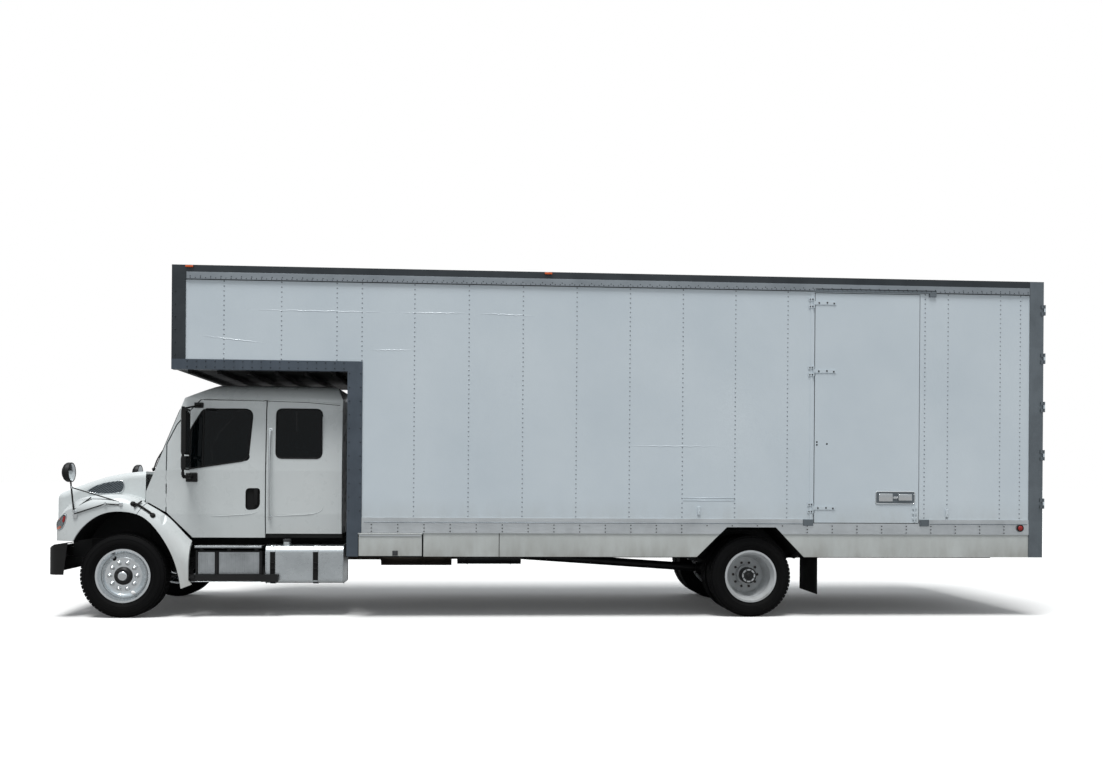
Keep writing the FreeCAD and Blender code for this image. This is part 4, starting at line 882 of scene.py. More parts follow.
# rings of heads: name, material, slot, face, circle, count, then the head's own sizes;
# turned pieces: name, material, slot, face, steps, outline of (out along the axle, radius)
wheelSizes = {
    "front": {
        "heads": (("FrontNuts", chromePlate, "wheel_aluminium", 1.14, 0.1475, 10,
                   (0.021, 0.029, 0.72, 16)),
                  ("FrontCapScrews", castIron, "black_steel", 1.1744, 0.0625, 6,
                   (0.005, 0.0022, 0.7, 6))),
        "turned": (("FrontHubRing", chassisPaint, "black_steel", 1.14, 56,
                    ((-0.002, 0.0812), (-0.002, 0.101), (0.006, 0.1), (0.0125, 0.094), (0.0125, 0.0835),
                     (0.0305, 0.0785), (0.0345, 0.073), (0.0345, 0.046), (0.0325, 0.046),
                     (0.0325, 0.0745), (0.0, 0.0797))),
                   ("FrontHubCap", chromePlate, "wheel_aluminium", 1.14, 56,
                    ((0.034, 0.0), (0.034, 0.052), (0.04, 0.051), (0.0465, 0.043), (0.0485, 0.022),
                     (0.0485, 0.0)))),
        "valve": ("FrontValve", chromePlate, "wheel_aluminium",
                  ((0.1, 1.118, 0.2), (0.1, 1.14, 0.201), (0.098, 1.158, 0.196)))},
    "rear": {
        "heads": (("RearNuts", weatheredSteel, "dull_steel", 0.929, 0.143, 10,
                   (0.0165, 0.026, 0.93, 6, False)),
                  ("RearStuds", castIron, "black_steel", 0.929, 0.143, 10, (0.0105, 0.042, 0.96, 10)),
                  ("RearAxleBolts", castIron, "black_steel", 1.1085, 0.067, 8,
                   (0.0085, 0.007, 0.9, 6, False))),
        "turned": (("RearHub", chassisPaint, "black_steel", 0.929, 56,
                    ((0.0, 0.0855), (0.0, 0.112), (0.012, 0.111), (0.018, 0.098), (0.07, 0.0905),
                     (0.152, 0.0865), (0.158, 0.092), (0.172, 0.092), (0.1775, 0.086), (0.1795, 0.05),
                     (0.1795, 0.0), (0.171, 0.0), (0.171, 0.0855))),
                   ("RearAxlePlug", chassisPaint, "dull_steel", 1.1085, 24,
                    ((0, 0.0), (0, 0.03), (0.006, 0.028), (0.009, 0.02), (0.009, 0.0)))),
        "valve": ("RearValve", weatheredSteel, "dull_steel",
                  ((-0.12, 0.985, 0.19), (-0.13, 1.02, 0.205), (-0.14, 1.06, 0.215)))},
    "valveRadius": 0.0045,
    "nutFace": 1.14, "nutCircle": 0.1475, "nuts": 10,
    "seat": ((0, 0.0), (0, 0.0265), (0.003, 0.0265), (0.006, 0.022), (0.006, 0.0)),
    "stud": ((0.027, 0), (0.0275, 0.0135), (0.0305, 0.011), (0.032, 0.0)),
    "line": ((-0.035, 0.238), (-0.035, 0.246), (-0.033, 0.246), (-0.033, 0.238))}


def dressWheel(size, side, sign, body, x):
    out = (0, sign, 0)
    for name, material, slot, face, circle, count, head in size["heads"]:
        places = circlePlaces(x, sign * face, circle, count, out)
        addHeads(side + name, places, material, body, slot, *head)
    for name, material, slot, face, count, outline in size["turned"]:
        work = bmesh.new()
        addLathe(work, outline, (x, sign * face, axleZ), out, count)
        addPiece(side + name, work, material, body)
    name, material, slot, spots = size["valve"]
    stem = bmesh.new()
    spots = [(x + ahead, sign * y, axleZ + up) for ahead, y, up in spots]
    addTube(stem, smoothPath(spots), wheelSizes["valveRadius"])
    addPiece(side + name, stem, material, body)


def buildNutSeats(side, sign):
    # seats and studs of the front wheel's nuts, and the bright line inside its rim
    size, out = wheelSizes, (0, sign, 0)
    face = sign * size["nutFace"]
    work = bmesh.new()
    for point, facing in circlePlaces(frontAxleX, face, size["nutCircle"], size["nuts"], out):
        addLathe(work, size["seat"], point, out, 20)
        addLathe(work, size["stud"], point, out, 16)
    addLathe(work, size["line"], (frontAxleX, face, axleZ), out, 72)
    addPiece(side + "FrontNutSeats", work, chromePlate, side + "_front_wheel")


for side, sign in sides:
    dressWheel(wheelSizes["front"], side, sign, side + "_front_wheel", frontAxleX)
    dressWheel(wheelSizes["rear"], side, sign, side + "_rear_wheels", rearAxleX)
    buildNutSeats(side, sign)
print("wheels dressed")


# cab: seals, handles, trim
def sidePieces(name, build, material, bodies, smooth=True):
    # builds a piece for the left side and its mirror image for the right
    for (side, sign), body in zip(sides, bodies):
        work = bmesh.new()
        build(work)
        if sign < 0:
            mirrorWork(work, False)
        addPiece(side + name, work, material, body, smooth, 40 if smooth else None)


def sideTube(name, spots, radius, material, bodies, count=8, closed=False):
    sidePieces(name, lambda work: addTube(work, spots, radius, count, closed), material, bodies)


chassisTwice = ("chassis", "chassis")
hoodTwice = ("hood", "hood")
cabDoors = ("left_cab_door", "right_cab_door")
cabTree = skinTree(["cab_shell", "cab_roof", "left_cab_door", "left_door_glass", "cab_glass"])
windowSizes = {
    "doorPane": ((1.462, 1.655), (1.462, 2.094), (1.6, 2.327), (2.153, 2.332), (2.105, 1.756)),
    "doorCorner": (0.012, 0.05, 0.05, 0.1, 0.08), "rearCorner": 0.07, "seal": 0.0085, "barSeal": 0.0095,
    "rearPane": ((2.414, 1.782), (2.414, 2.338), (2.923, 2.338), (2.923, 1.782)),
    "bar": ((1.607, 1.672), (1.607, 2.322))}


def buildSeals():
    size = windowSizes
    door = roundedOutline(size["doorPane"], size["doorCorner"])
    rear = roundedOutline(size["rearPane"], size["rearCorner"])
    for name, outline, bodies in (("DoorSeal", door, cabDoors), ("RearSeal", rear, chassisTwice)):
        sideTube(name, laidOn(cabTree, shortSteps(outline, 0.02)), size["seal"], blackRubberAndShade, bodies,
                 closed=True)
    sideTube("WindowBar", laidOn(cabTree, shortSteps(size["bar"], 0.05, False), 0.001),
             size["barSeal"], blackRubberAndShade, cabDoors)


creaseSizes = {"thin": 0.001, "swell": 0.0035,
               "door": ((1.705, 1.124), (1.96, 1.137), (2.14, 1.153), (2.219, 1.176)),
               "panel": ((2.37, 1.128), (2.62, 1.14), (2.84, 1.158), (2.93, 1.2), (2.948, 1.27))}


def buildCrease(name, points, bodies):
    # a pressed line that fades out at both ends
    path = smoothPath([(s, z, 0) for s, z in points], 0.03)
    last = len(path) - 1
    thick = [creaseSizes["thin"] + creaseSizes["swell"] * math.sin(math.pi * i / last) ** 0.5
             for i in range(last + 1)]
    sideTube(name, laidOn(cabTree, [(p.x, p.y) for p in path]), thick, cabEnamel, bodies)


handleSizes = {
    "span": (2.078, 2.245), "heights": (1.188, 1.446), "recess": 0.022, "edge": 0.004, "lowRear": 0.02,
    "corners": (0.05, 0.05, 0.035, 0.075), "cornerSteps": 8, "fillDeep": 0.0004, "fillSink": 0.0008,
    "shrink": (0.97, 0.975), "cupLift": 0.0005, "cup": 0.003, "lip": 0.0042, "lipSink": 0.003,
    # in from the rear edge, out from the face, in from the low and the high edge
    "pull": ((0.028, 0.072), (-0.011, 0.002), (0.06, 0.018)), "pullBevel": 0.008,
    "lock": ((0, 0), (0, 0.011), (0.003, 0.0105), (0.004, 0)), "lockAt": (0.045, 0.003, 0.05)}


def buildHandles():
    size = handleSizes
    (s0, s1), (z0, z1) = size["span"], size["heights"]
    face = nodeBox("left_cab_door")[1].y
    deep = face - size["recess"]
    midS, midZ = (s0 + s1) / 2, (z0 + z1) / 2
    edge = size["edge"]
    oval = roundedOutline([(s0 + edge, z0 + edge), (s0 + edge, z1 - edge), (s1 - edge, z1 - edge),
                           (s1 - edge, z0 + size["lowRear"])], size["corners"], size["cornerSteps"])
    square = []
    for s, z in oval:
        ds, dz = s - midS, z - midZ
        grow = min((s1 - s0) / 2 / abs(ds), (z1 - z0) / 2 / abs(dz))
        square.append((midS + ds * grow, midZ + dz * grow))

    def surround(work):
        # enamel filling between the square recess and the rounded cup
        floor, top = deep + size["fillDeep"], face - size["fillSink"]
        loops = ((square, floor), (square, top), (oval, top), (oval, floor))
        bridge(work, [[(atStation(s), y, z) for s, z in loop] for loop, y in loops], True)

    def cup(work):
        shrinkS, shrinkZ = size["shrink"]
        inner = [(atStation(midS + (s - midS) * shrinkS), midZ + (z - midZ) * shrinkZ) for s, z in oval]
        addPrism(work, [(x, deep + size["cupLift"], z) for x, z in inner], (0, size["cup"], 0))
        addTube(work, [(x, face - size["lipSink"], z) for x, z in inner], size["lip"], 8, True)
        inward, outward, (low, high) = size["pull"]
        addSpan(work, [s1 - back for back in inward], [face + lift for lift in outward],
                (z0 + low, z1 - high), size["pullBevel"], 3)
        ahead, out, up = size["lockAt"]
        addLathe(work, size["lock"], (atStation(s0 + ahead), deep + out, z0 + up), outLeft, 20)
    sidePieces("HandleSurround", surround, cabEnamel, cabDoors, False)
    sidePieces("HandleCup", cup, blackRubberAndShade, cabDoors)


grabSizes = {"station": 2.352, "radius": 0.0125,
             "spots": ((1.112, 0.002), (1.124, 0.03), (1.172, 0.05), (1.6, 0.052), (2.037, 0.05),
                       (2.085, 0.03), (2.097, 0.002)),
             "foot": ((0, 0), (0, 0.026), (0.006, 0.024), (0.009, 0.014), (0.009, 0))}


def buildGrabHandles():
    size = grabSizes

    def build(work):
        spots = [sidePoint(cabTree, size["station"], z, lift)[0] for z, lift in size["spots"]]
        addTube(work, smoothPath(spots, 0.03), size["radius"], 12)
        for z, lift in (size["spots"][0], size["spots"][-1]):
            addLathe(work, size["foot"], *sidePoint(cabTree, size["station"], z), 20)
    sidePieces("GrabHandle", build, chromePlate, chassisTwice)


seamSizes = {"line": ((1.6, 2.447), (2.213, 2.443), (2.75, 2.43), (3.12, 2.4)), "radius": 0.006,
             "sink": -0.001, "shadeDrop": 0.014, "shadeRadius": 0.0035, "shadeSink": -0.0015}


def buildRoofSeam():
    size = seamSizes
    line = shortSteps(size["line"], 0.04, False)
    sideTube("RoofSeam", laidOn(cabTree, line, size["sink"]), size["radius"], cabEnamel, chassisTwice)
    # the black line just below the seam is painted shade under the seam's lip
    low = [(s, z - size["shadeDrop"]) for s, z in line]
    sideTube("RoofSeamShadeLine", laidOn(cabTree, low, size["shadeSink"]), size["shadeRadius"], blackRubberAndShade,
             chassisTwice, 6)


buildSeals()
buildCrease("DoorCrease", creaseSizes["door"], cabDoors)
buildCrease("PanelCrease", creaseSizes["panel"], chassisTwice)
buildHandles()
buildGrabHandles()
buildRoofSeam()
print("cab sides dressed")


# front end: vents, latches, lamps, mirrors
hoodTree = skinTree(["hood"])
lampTree = skinTree(["headlamps"])
frontTree = skinTree(["hood", "quarter_fenders", "headlamps"])
hoodFallback, lampFallback = 0.885, 1.0


def hoodSide(s, z, lift=0.0):
    return sidePoint(hoodTree, s, z, lift, hoodFallback)[0]


ventSizes = {
    "outline": ((0.309, 1.405), (0.344, 1.375), (0.499, 1.364), (0.654, 1.383), (0.695, 1.426),
                (0.701, 1.475), (0.665, 1.514), (0.498, 1.492), (0.391, 1.455)),
    "frame": 0.0085, "frameLift": 0.001, "blade": 0.0048, "bladeLift": 0.0065,
    "first": 0.3, "low": 1.355, "pitch": 0.034, "blades": (-4, 13), "way": (0.5, 0.3),
    "step": 0.006, "steps": 70, "backLift": 0.0012, "backDeep": 0.006}


def insideLoop(loop, s, z):
    inside = False
    for (s0, z0), (s1, z1) in zip(loop, loop[1:] + loop[:1]):
        if (z0 > z) != (z1 > z) and s < (s1 - s0) * (z - z0) / (z1 - z0) + s0:
            inside = not inside
    return inside


def buildVents():
    size = ventSizes
    loop = smoothLoop(size["outline"])

    def surround(work):
        addTube(work, [hoodSide(s, z, size["frameLift"]) for s, z in loop], size["frame"], 10, True)

    def back(work):
        facePatch(work, hoodTree, loop, size["backLift"], size["backDeep"])

    def slats(work):
        # slanting blades across the opening, each cut off at its outline
        way = Vector(size["way"]).normalized()
        for i in range(*size["blades"]):
            start = Vector((size["first"] + i * size["pitch"], size["low"]))
            run = [start + way * size["step"] * k for k in range(size["steps"])]
            kept = [p for p in run if insideLoop(loop, p.x, p.y)]
            if len(kept) > 3:
                addTube(work, [hoodSide(p.x, p.y, size["bladeLift"])
                               for p in (kept[0], kept[len(kept) // 2], kept[-1])], size["blade"], 6)
    sidePieces("VentBack", back, blackRubberAndShade, hoodTwice, False)
    sidePieces("VentSlats", slats, galvanisedSteelAndShade, hoodTwice)
    sidePieces("VentFrame", surround, chromePlate, hoodTwice)


latchSizes = {"strap": ((0.885, 1.262), (0.93, 1.248), (0.985, 1.215), (1.05, 1.172), (1.1, 1.135)),
              "strapLift": 0.012, "strapRadius": 0.012, "anchors": ((0.887, 1.262), (1.1, 1.134)),
              "anchor": ((-0.004, 0), (-0.004, 0.03), (0.01, 0.028), (0.02, 0.018), (0.022, 0)),
              "cross": ((0.905, 1.218), (0.93, 1.247), (0.955, 1.276)),
              "crossLift": 0.018, "crossRadius": 0.009,
              "joint": ((0.99, 1.33), (0.99, 1.42), (0.992, 1.5), (0.994, 1.55)),
              "jointLift": 0.003, "jointRadius": 0.0075}


def buildLatches():
    size = latchSizes

    def pull(work):
        # rubber hood hold-down: a strap over the fender seam with its two anchors
        strap = laidOn(frontTree, size["strap"], size["strapLift"])
        addTube(work, smoothPath(strap, 0.015), size["strapRadius"])
        for s, z in size["anchors"]:
            addLathe(work, size["anchor"], *sidePoint(frontTree, s, z), 20)
        addTube(work, laidOn(frontTree, size["cross"], size["crossLift"]), size["crossRadius"], 8)
    sidePieces("HoodLatch", pull, blackRubberAndShade, hoodTwice)
    # strip closing the joint between hood and cowl
    strip = smoothPath([hoodSide(s, z, size["jointLift"]) for s, z in size["joint"]], 0.03)
    sideTube("HoodEdgeRubber", strip, size["jointRadius"], blackRubberAndShade, hoodTwice)


lampSizes = {
    "bowlAt": (0.062, 1.045, -0.03), "bowlWay": (0.5, 0, 0),
    "bowl": ((-0.03, 0), (-0.03, 0.03), (0.0, 0.04), (0.012, 0.043), (0.012, 0.038), (-0.005, 0.03),
             (-0.02, 0.0)),
    "rim": ((0.02, 0.985), (0.06, 0.968), (0.118, 0.985), (0.158, 1.04), (0.178, 1.115),
            (0.162, 1.138), (0.138, 1.136), (0.082, 1.086), (0.03, 1.04)), "rimRadius": 0.005,
    "shell": ((0.03, 0.99), (0.06, 0.975), (0.115, 0.99), (0.153, 1.045), (0.172, 1.113),
              (0.158, 1.132), (0.138, 1.13), (0.086, 1.08), (0.036, 1.036)),
    "shellLift": 0.001, "shellDeep": 0.004,
    "red": ((0.132, 1.06), (0.152, 1.06), (0.17, 1.115), (0.148, 1.12), (0.135, 1.095)),
    "amber": ((0.05, 0.978), (0.085, 0.982), (0.112, 1.003), (0.09, 1.01), (0.055, 0.998)),
    "lensLift": 0.0025, "lensDeep": 0.006}


def buildHeadlampParts():
    size = lampSizes

    def bowls(work):
        spot, normal = sidePoint(lampTree, *size["bowlAt"], lampFallback)
        way = (normal + Vector(size["bowlWay"])).normalized()
        addLathe(work, size["bowl"], spot, way, 28)

    def patch(outline, lift, deep):
        return lambda work: facePatch(work, lampTree, smoothLoop(outline), lift, deep)
    sidePieces("LampBack", patch(size["shell"], size["shellLift"], size["shellDeep"]), blackRubberAndShade,
               hoodTwice, False)
    sidePieces("LampBowl", bowls, chromePlate, hoodTwice)
    rim = [sidePoint(lampTree, s, z, 0.0, lampFallback)[0] for s, z in smoothLoop(size["rim"])]
    sideTube("LampRim", rim, size["rimRadius"], chromePlate, hoodTwice, closed=True)
    for name, outline, lens in (("LampRed", size["red"], redLens),
                                ("LampAmber", size["amber"], orangeLens)):
        sidePieces(name, patch(outline, size["lensLift"], size["lensDeep"]), lens, hoodTwice,
                   False)


buildVents()
buildLatches()
buildHeadlampParts()
print("front end dressed")


mirrorSizes = {
    "inner": 1.17, "back": 1.5, "face": 1.463, "domeLift": 0.001, "domeDeep": 0.014, "domeInset": 0.03,
    "panes": ((1.828, 2.292), (1.655, 1.775)), "paneInset": 0.016, "paneX": (-0.0045, 0.0005),
    "pane": 0.002, "rimBehind": 0.002,
    "heads": ((1.81, 2.31), (1.64, 1.79)), "headInset": (0.007, 0.003), "corner": 0.025, "rim": 0.0065,
    # stations, across, heights, bevel, segments of the brackets on the door and the roof
    "brackets": (((1.553, 1.425), (1.028, 1.052), (1.507, 1.607), 0.01, 3),
                 ((1.505, 1.43), (1.03, 1.2), (1.545, 1.585), 0.012, 3),
                 ((1.6, 1.5), (0.958, 1.0), (2.34, 2.402), 0.008, 2)),
    "tube": (1.44, 1.215), "tubeHeights": (1.566, 1.95, 2.335), "tubeRadius": 0.0132,
    "clamps": (2.325, 2.175, 1.83, 1.6),
    "clamp": ((-0.016, 0), (-0.016, 0.0175), (0.016, 0.0175), (0.016, 0))}
upward = (0, 0, 1)
forward = (1, 0, 0)
backward = (-1, 0, 0)


def buildDoorMirrors():
    # glass and frames on the rear faces of both heads, with their brackets and clamps
    size = mirrorSizes
    inner, outer = size["inner"], nodeBox("left_door_mirror")[1].y
    back, face = atStation(size["back"]), atStation(size["face"])
    tubeX, tubeY = atStation(size["tube"][0]), size["tube"][1]
    corners = ((0, 0), (1, 0), (1, 1), (0, 1))

    def glass(work):
        for z0, z1 in size["panes"]:
            addBox(work, *zip([back + x for x in size["paneX"]],
                              (inner + size["paneInset"], outer - size["paneInset"]), (z0, z1)),
                   size["pane"], 1)

    def shells(work):
        for z0, z1 in size["heads"]:
            insetY, insetZ = size["headInset"]
            y0, y1, low, top = inner + insetY, outer - insetY, z0 + insetZ, z1 - insetZ
            loop = roundedOutline([(y0, low), (y0, top), (y1, top), (y1, low)], size["corner"])
            spots = [(back - size["rimBehind"], y, z) for y, z in loop]
            addTube(work, spots, size["rim"], 8, True)
            inset = size["domeInset"]
            bridge(work, [[(face + size["domeLift"] + size["domeDeep"],
                            inner + inset + (outer - inner - 2 * inset) * a,
                            z0 + inset + (z1 - z0 - 2 * inset) * b) for a, b in corners],
                          [(face, outer if a else inner, z1 if b else z0) for a, b in corners]])
        for bracket in size["brackets"]:
            addSpan(work, *bracket)
        for z in size["clamps"]:
            addLathe(work, size["clamp"], (tubeX, tubeY, z), upward, 16)
    sidePieces("MirrorShells", shells, bumperPlastic, cabDoors)
    sidePieces("MirrorGlass", glass, mirrorSilver, cabDoors, False)
    tube = smoothPath([(tubeX, tubeY, z) for z in size["tubeHeights"]], 0.1)
    sideTube("MirrorTube", tube, size["tubeRadius"], blackRubberAndShade, cabDoors, 12)


fenderMirrorSizes = {
    "centre": (0.212, 1.16, 1.606), "bowlAhead": 0.0178, "glassBehind": 0.018,
    "bowl": ((0.0, 0), (0.0, 0.107), (0.01, 0.106), (0.032, 0.09), (0.05, 0.06), (0.058, 0.025),
             (0.059, 0.0)),
    "rim": (0.102, 0.0058, 40), "rimBehind": 0.001,
    "glass": ((0.0, 0), (0.0, 0.098), (-0.004, 0.096), (-0.009, 0.07), (-0.012, 0.0)),
    "joints": ((0.27, 1.207, 1.18), (0.606, 1.207, 1.262), (0.769, 1.196, 1.251), (0.232, 1.172, 1.44)),
    "joint": ((-0.013, 0), (-0.013, 0.014), (-0.006, 0.0165), (0.006, 0.0165), (0.013, 0.014),
              (0.013, 0)),
    "feet": (((0.306, 0.262), (1.196, 1.208), (1.1, 1.19)),
             ((0.79, 0.745), (1.186, 1.199), (1.236, 1.276)))}


def buildHoodMirrors():
    size = fenderMirrorSizes
    station, y, z = size["centre"]
    centre = Vector((atStation(station), y, z))
    rear = centre - Vector((size["glassBehind"], 0, 0))

    def bowl(work):
        addLathe(work, size["bowl"], centre + Vector((size["bowlAhead"], 0, 0)), forward, 40)
        radius, thick, count = size["rim"]
        middle = rear - Vector((size["rimBehind"], 0, 0))
        rim = ringPoints(middle, Vector(upward), Vector(outLeft), radius, count)
        addTube(work, rim, thick, 8, True)

    def glass(work):
        addLathe(work, size["glass"], rear, forward, 40)

    def joints(work):
        for station, y, z in size["joints"]:
            addLathe(work, size["joint"], (atStation(station), y, z), outLeft, 16)
        for foot in size["feet"]:
            addSpan(work, *foot, 0.006)
    sidePieces("FenderMirrorBowl", bowl, blackRubberAndShade, hoodTwice)
    sidePieces("FenderMirrorGlass", glass, mirrorSilver, hoodTwice)
    sidePieces("FenderMirrorJoints", joints, chromePlate, hoodTwice)


screenSizes = {
    "outline": ((-0.85, 1.672), (-0.788, 2.336), (0.788, 2.336), (0.85, 1.672)), "corner": 0.06,
    "seal": 0.011, "bar": 0.006, "barLift": 0.001,
    "pivots": (0.66, -0.08), "pivotZ": 1.64, "pivotLift": 0.03, "reach": -0.52,
    # share of the reach, height, lift
    "arm": ((0.2, 1.76, 0.045), (0.5, 1.92, 0.035)), "armRadius": 0.0085,
    "bladeWay": (0.2, 0.3), "bladeLift": 0.018, "bladeRadius": 0.0075,
    "cap": ((-0.02, 0), (-0.02, 0.022), (0.012, 0.02), (0.018, 0.0)), "capWay": (0.5, 0, 1)}


def buildScreenParts():
    # black band round the windshield with its centre bar, and the wipers
    size = screenSizes
    screenTree = skinTree(["cab_shell", "cab_glass", "cab_roof"])

    def onScreen(y, z, lift=0.0):
        spot, normal = screenTree.ray_cast(Vector((8.0, y, z)), Vector(backward))[:2]
        return spot + (normal if normal.x >= 0 else -normal) * lift

    band = bmesh.new()
    outline = shortSteps(roundedOutline(size["outline"], size["corner"]), 0.06)
    addTube(band, [onScreen(*pair) for pair in outline], size["seal"], 8, True)
    addTube(band, [onScreen(0.0, z / 100, size["barLift"]) for z in range(169, 234, 4)], size["bar"], 8)
    addPiece("screenSeal", band, blackRubberAndShade, "chassis")
    work = bmesh.new()
    for y in size["pivots"]:
        pivot = onScreen(y, size["pivotZ"], size["pivotLift"])
        arm = [pivot] + [onScreen(y + size["reach"] * share, z, lift) for share, z, lift in size["arm"]]
        addTube(work, smoothPath(arm, 0.04), size["armRadius"], 8)
        share, z, lift = size["arm"][-1]
        across, rise = size["bladeWay"]
        blade = [onScreen(y + size["reach"] * share + across * k, z + rise * k, size["bladeLift"])
                 for k in (-1.0, -0.5, 0.0, 0.5, 1.0)]
        addTube(work, blade, size["bladeRadius"], 8)
        addLathe(work, size["cap"], pivot, size["capWay"], 16)
    addPiece("wipers", work, blackRubberAndShade, "chassis")


buildDoorMirrors()
buildHoodMirrors()
buildScreenParts()
print("mirrors and screen dressed")


# steps, batteries, tank
stepSizes = {
    "span": (2.284, 1.556), "lowSpan": (2.28, 1.51), "pitch": 0.024, "ends": 0.012,
    "topMarks": (0.915, 1.14, 0.7965), "lowMarks": (1.02, 1.13, 0.4655),
    "mark": (0.0075, 0.0022, 0.55, 4, False),
    # stations, across, heights, bevel
    "plates": (((2.284, 1.556), (0.905, 1.15), (0.7962, 0.7985), 0.001),
               ((2.284, 1.556), (1.146, 1.1535), (0.776, 0.7985), 0.002),
               ((2.284, 1.495), (1.144, 1.1525), (0.397, 0.404), 0.001)),
    "covers": ((1.578, 1.762), (1.808, 2.25)), "coverY": (1.0885, 1.0935), "coverZ": (0.48, 0.726),
    "ribPitch": 0.046, "ribHalf": 0.012, "ribY": (1.0925, 1.0965), "ribZ": (0.495, 0.702),
    "rib": 0.0035,
    "straps": (1.784, 2.268, 1.566), "strapHalf": 0.012, "strapY": (1.098, 1.106),
    "strapZ": (0.47, 0.735),
    "rail": ((2.28, 1.556), (1.098, 1.105), (0.728, 0.744), 0.003)}


def diamondPlaces(x0, x1, y0, y1, z, pitch):
    # staggered raised marks of a chequer plate
    places = []
    for j in range(int((y1 - y0) / pitch) + 1):
        start = x0 + 0.5 * pitch * (j % 2)
        places += [((start + i * pitch, y0 + j * pitch, z), upward)
                   for i in range(int((x1 - start) / pitch) + 1)]
    return places


def buildSteps():
    size = stepSizes
    marks = []
    for sign in (1, -1):
        for stations, ends, (near, far, z) in ((size["span"], size["ends"], size["topMarks"]),
                                               (size["lowSpan"], 0.0, size["lowMarks"])):
            rear, front = map(atStation, stations)
            marks += diamondPlaces(rear + ends, front - ends, *sorted((sign * near, sign * far)), z,
                                   size["pitch"])
    addHeads("stepMarks", marks, polishedAluminium, "chassis", "wheel_aluminium", *size["mark"])

    def plates(work):
        for plate in size["plates"]:
            addSpan(work, *plate, 1)

    def panels(work):
        for first, last in size["covers"]:
            addSpan(work, (first, last), size["coverY"], size["coverZ"], 0.003, 2)
            ribs = int((last - first) / size["ribPitch"])
            for k in range(ribs):
                middle = first + (k + 0.5) * (last - first) / ribs
                addSpan(work, (middle - size["ribHalf"], middle + size["ribHalf"]), size["ribY"],
                        size["ribZ"], size["rib"], 1)

    def straps(work):
        for station in size["straps"]:
            addSpan(work, (station - size["strapHalf"], station + size["strapHalf"]), size["strapY"],
                    size["strapZ"], 0.003, 1)
        addSpan(work, *size["rail"], 1)
    for name, build, material, slot in (("StepPlates", plates, stepAluminium, "wheel_aluminium"),
                                        ("BatteryCovers", panels, stepAluminium, "wheel_aluminium"),
                                        ("BatteryStraps", straps, chassisPaint, "black_steel")):
        sidePieces(name, build, material, chassisTwice, False)


tankSizes = {
    # the tank's outline as (y, z), and the strap's path round it
    "section": ((0.68, 0.378), (1.05, 0.378), (1.078, 0.39), (1.09, 0.418), (1.09, 0.723),
                (1.066, 0.779), (1.01, 0.803), (0.68, 0.803)),
    "seams": (2.3215, 3.1785), "seam": 0.0065,
    "band": ((0.674, 0.3705), (1.052, 0.3705), (1.084, 0.384), (1.0975, 0.416), (1.0975, 0.725),
             (1.072, 0.785), (1.012, 0.8105), (0.674, 0.8105)),
    "straps": (2.369, 2.844), "strapWide": 0.057, "middle": (0.875, 0.59), "shrink": 0.985,
    "bolts": (0.545, 0.605), "boltY": 1.104, "boltSpan": (0.051, 0.007), "bolt": 0.006,
    "cap": (2.54, 1.0, 0.8385),
    "lid": ((0.0, 0), (0.0, 0.043), (0.012, 0.046), (0.026, 0.046), (0.03, 0.04), (0.03, 0.0)),
    "bars": 3, "bar": (0.036, 0.007, 0.0275, 0.0355)}


def buildTank():
    size = tankSizes
    work = bmesh.new()
    for station in size["seams"]:
        addTube(work, [(atStation(station), y, z) for y, z in size["section"]], size["seam"], 8, True)
    addPiece("tankSeams", work, tankAluminium, "chassis")
    work = bmesh.new()
    midY, midZ = size["middle"]
    inner = [(midY + (y - midY) * size["shrink"], midZ + (z - midZ) * size["shrink"])
             for y, z in size["band"]]
    for station in size["straps"]:
        front = atStation(station)
        rear = front - size["strapWide"]
        loops = ((front, size["band"]), (rear, size["band"]), (rear, inner), (front, inner))
        bridge(work, [[(x, y, z) for y, z in loop] for x, loop in loops], True)
        for z in size["bolts"]:
            spots = [(front - back, size["boltY"], z) for back in size["boltSpan"]]
            addTube(work, spots, size["bolt"], 8)
    addPiece("tankStraps", work, blackRubberAndShade, "chassis", False)
    work = bmesh.new()
    station, y, z = size["cap"]
    x = atStation(station)
    addLathe(work, size["lid"], (x, y, z), upward, 32)
    along, half, low, top = size["bar"]
    for k in range(size["bars"]):
        addBox(work, (x - along, y - half, z + low), (x + along, y + half, z + top), 0.003, 1)
    addPiece("tankCap", work, castIron, "chassis", sharp=35)


# treads and battery covers: bright aluminium scuffed by boots
stepAluminium = metalMaterial("WornStepAluminium", "B9BDBF", "8B8F91", 0.34, (1, 1, 1), 60.0,
                              0.0003, 0.4)
buildSteps()
buildTank()
print("steps and tank dressed")


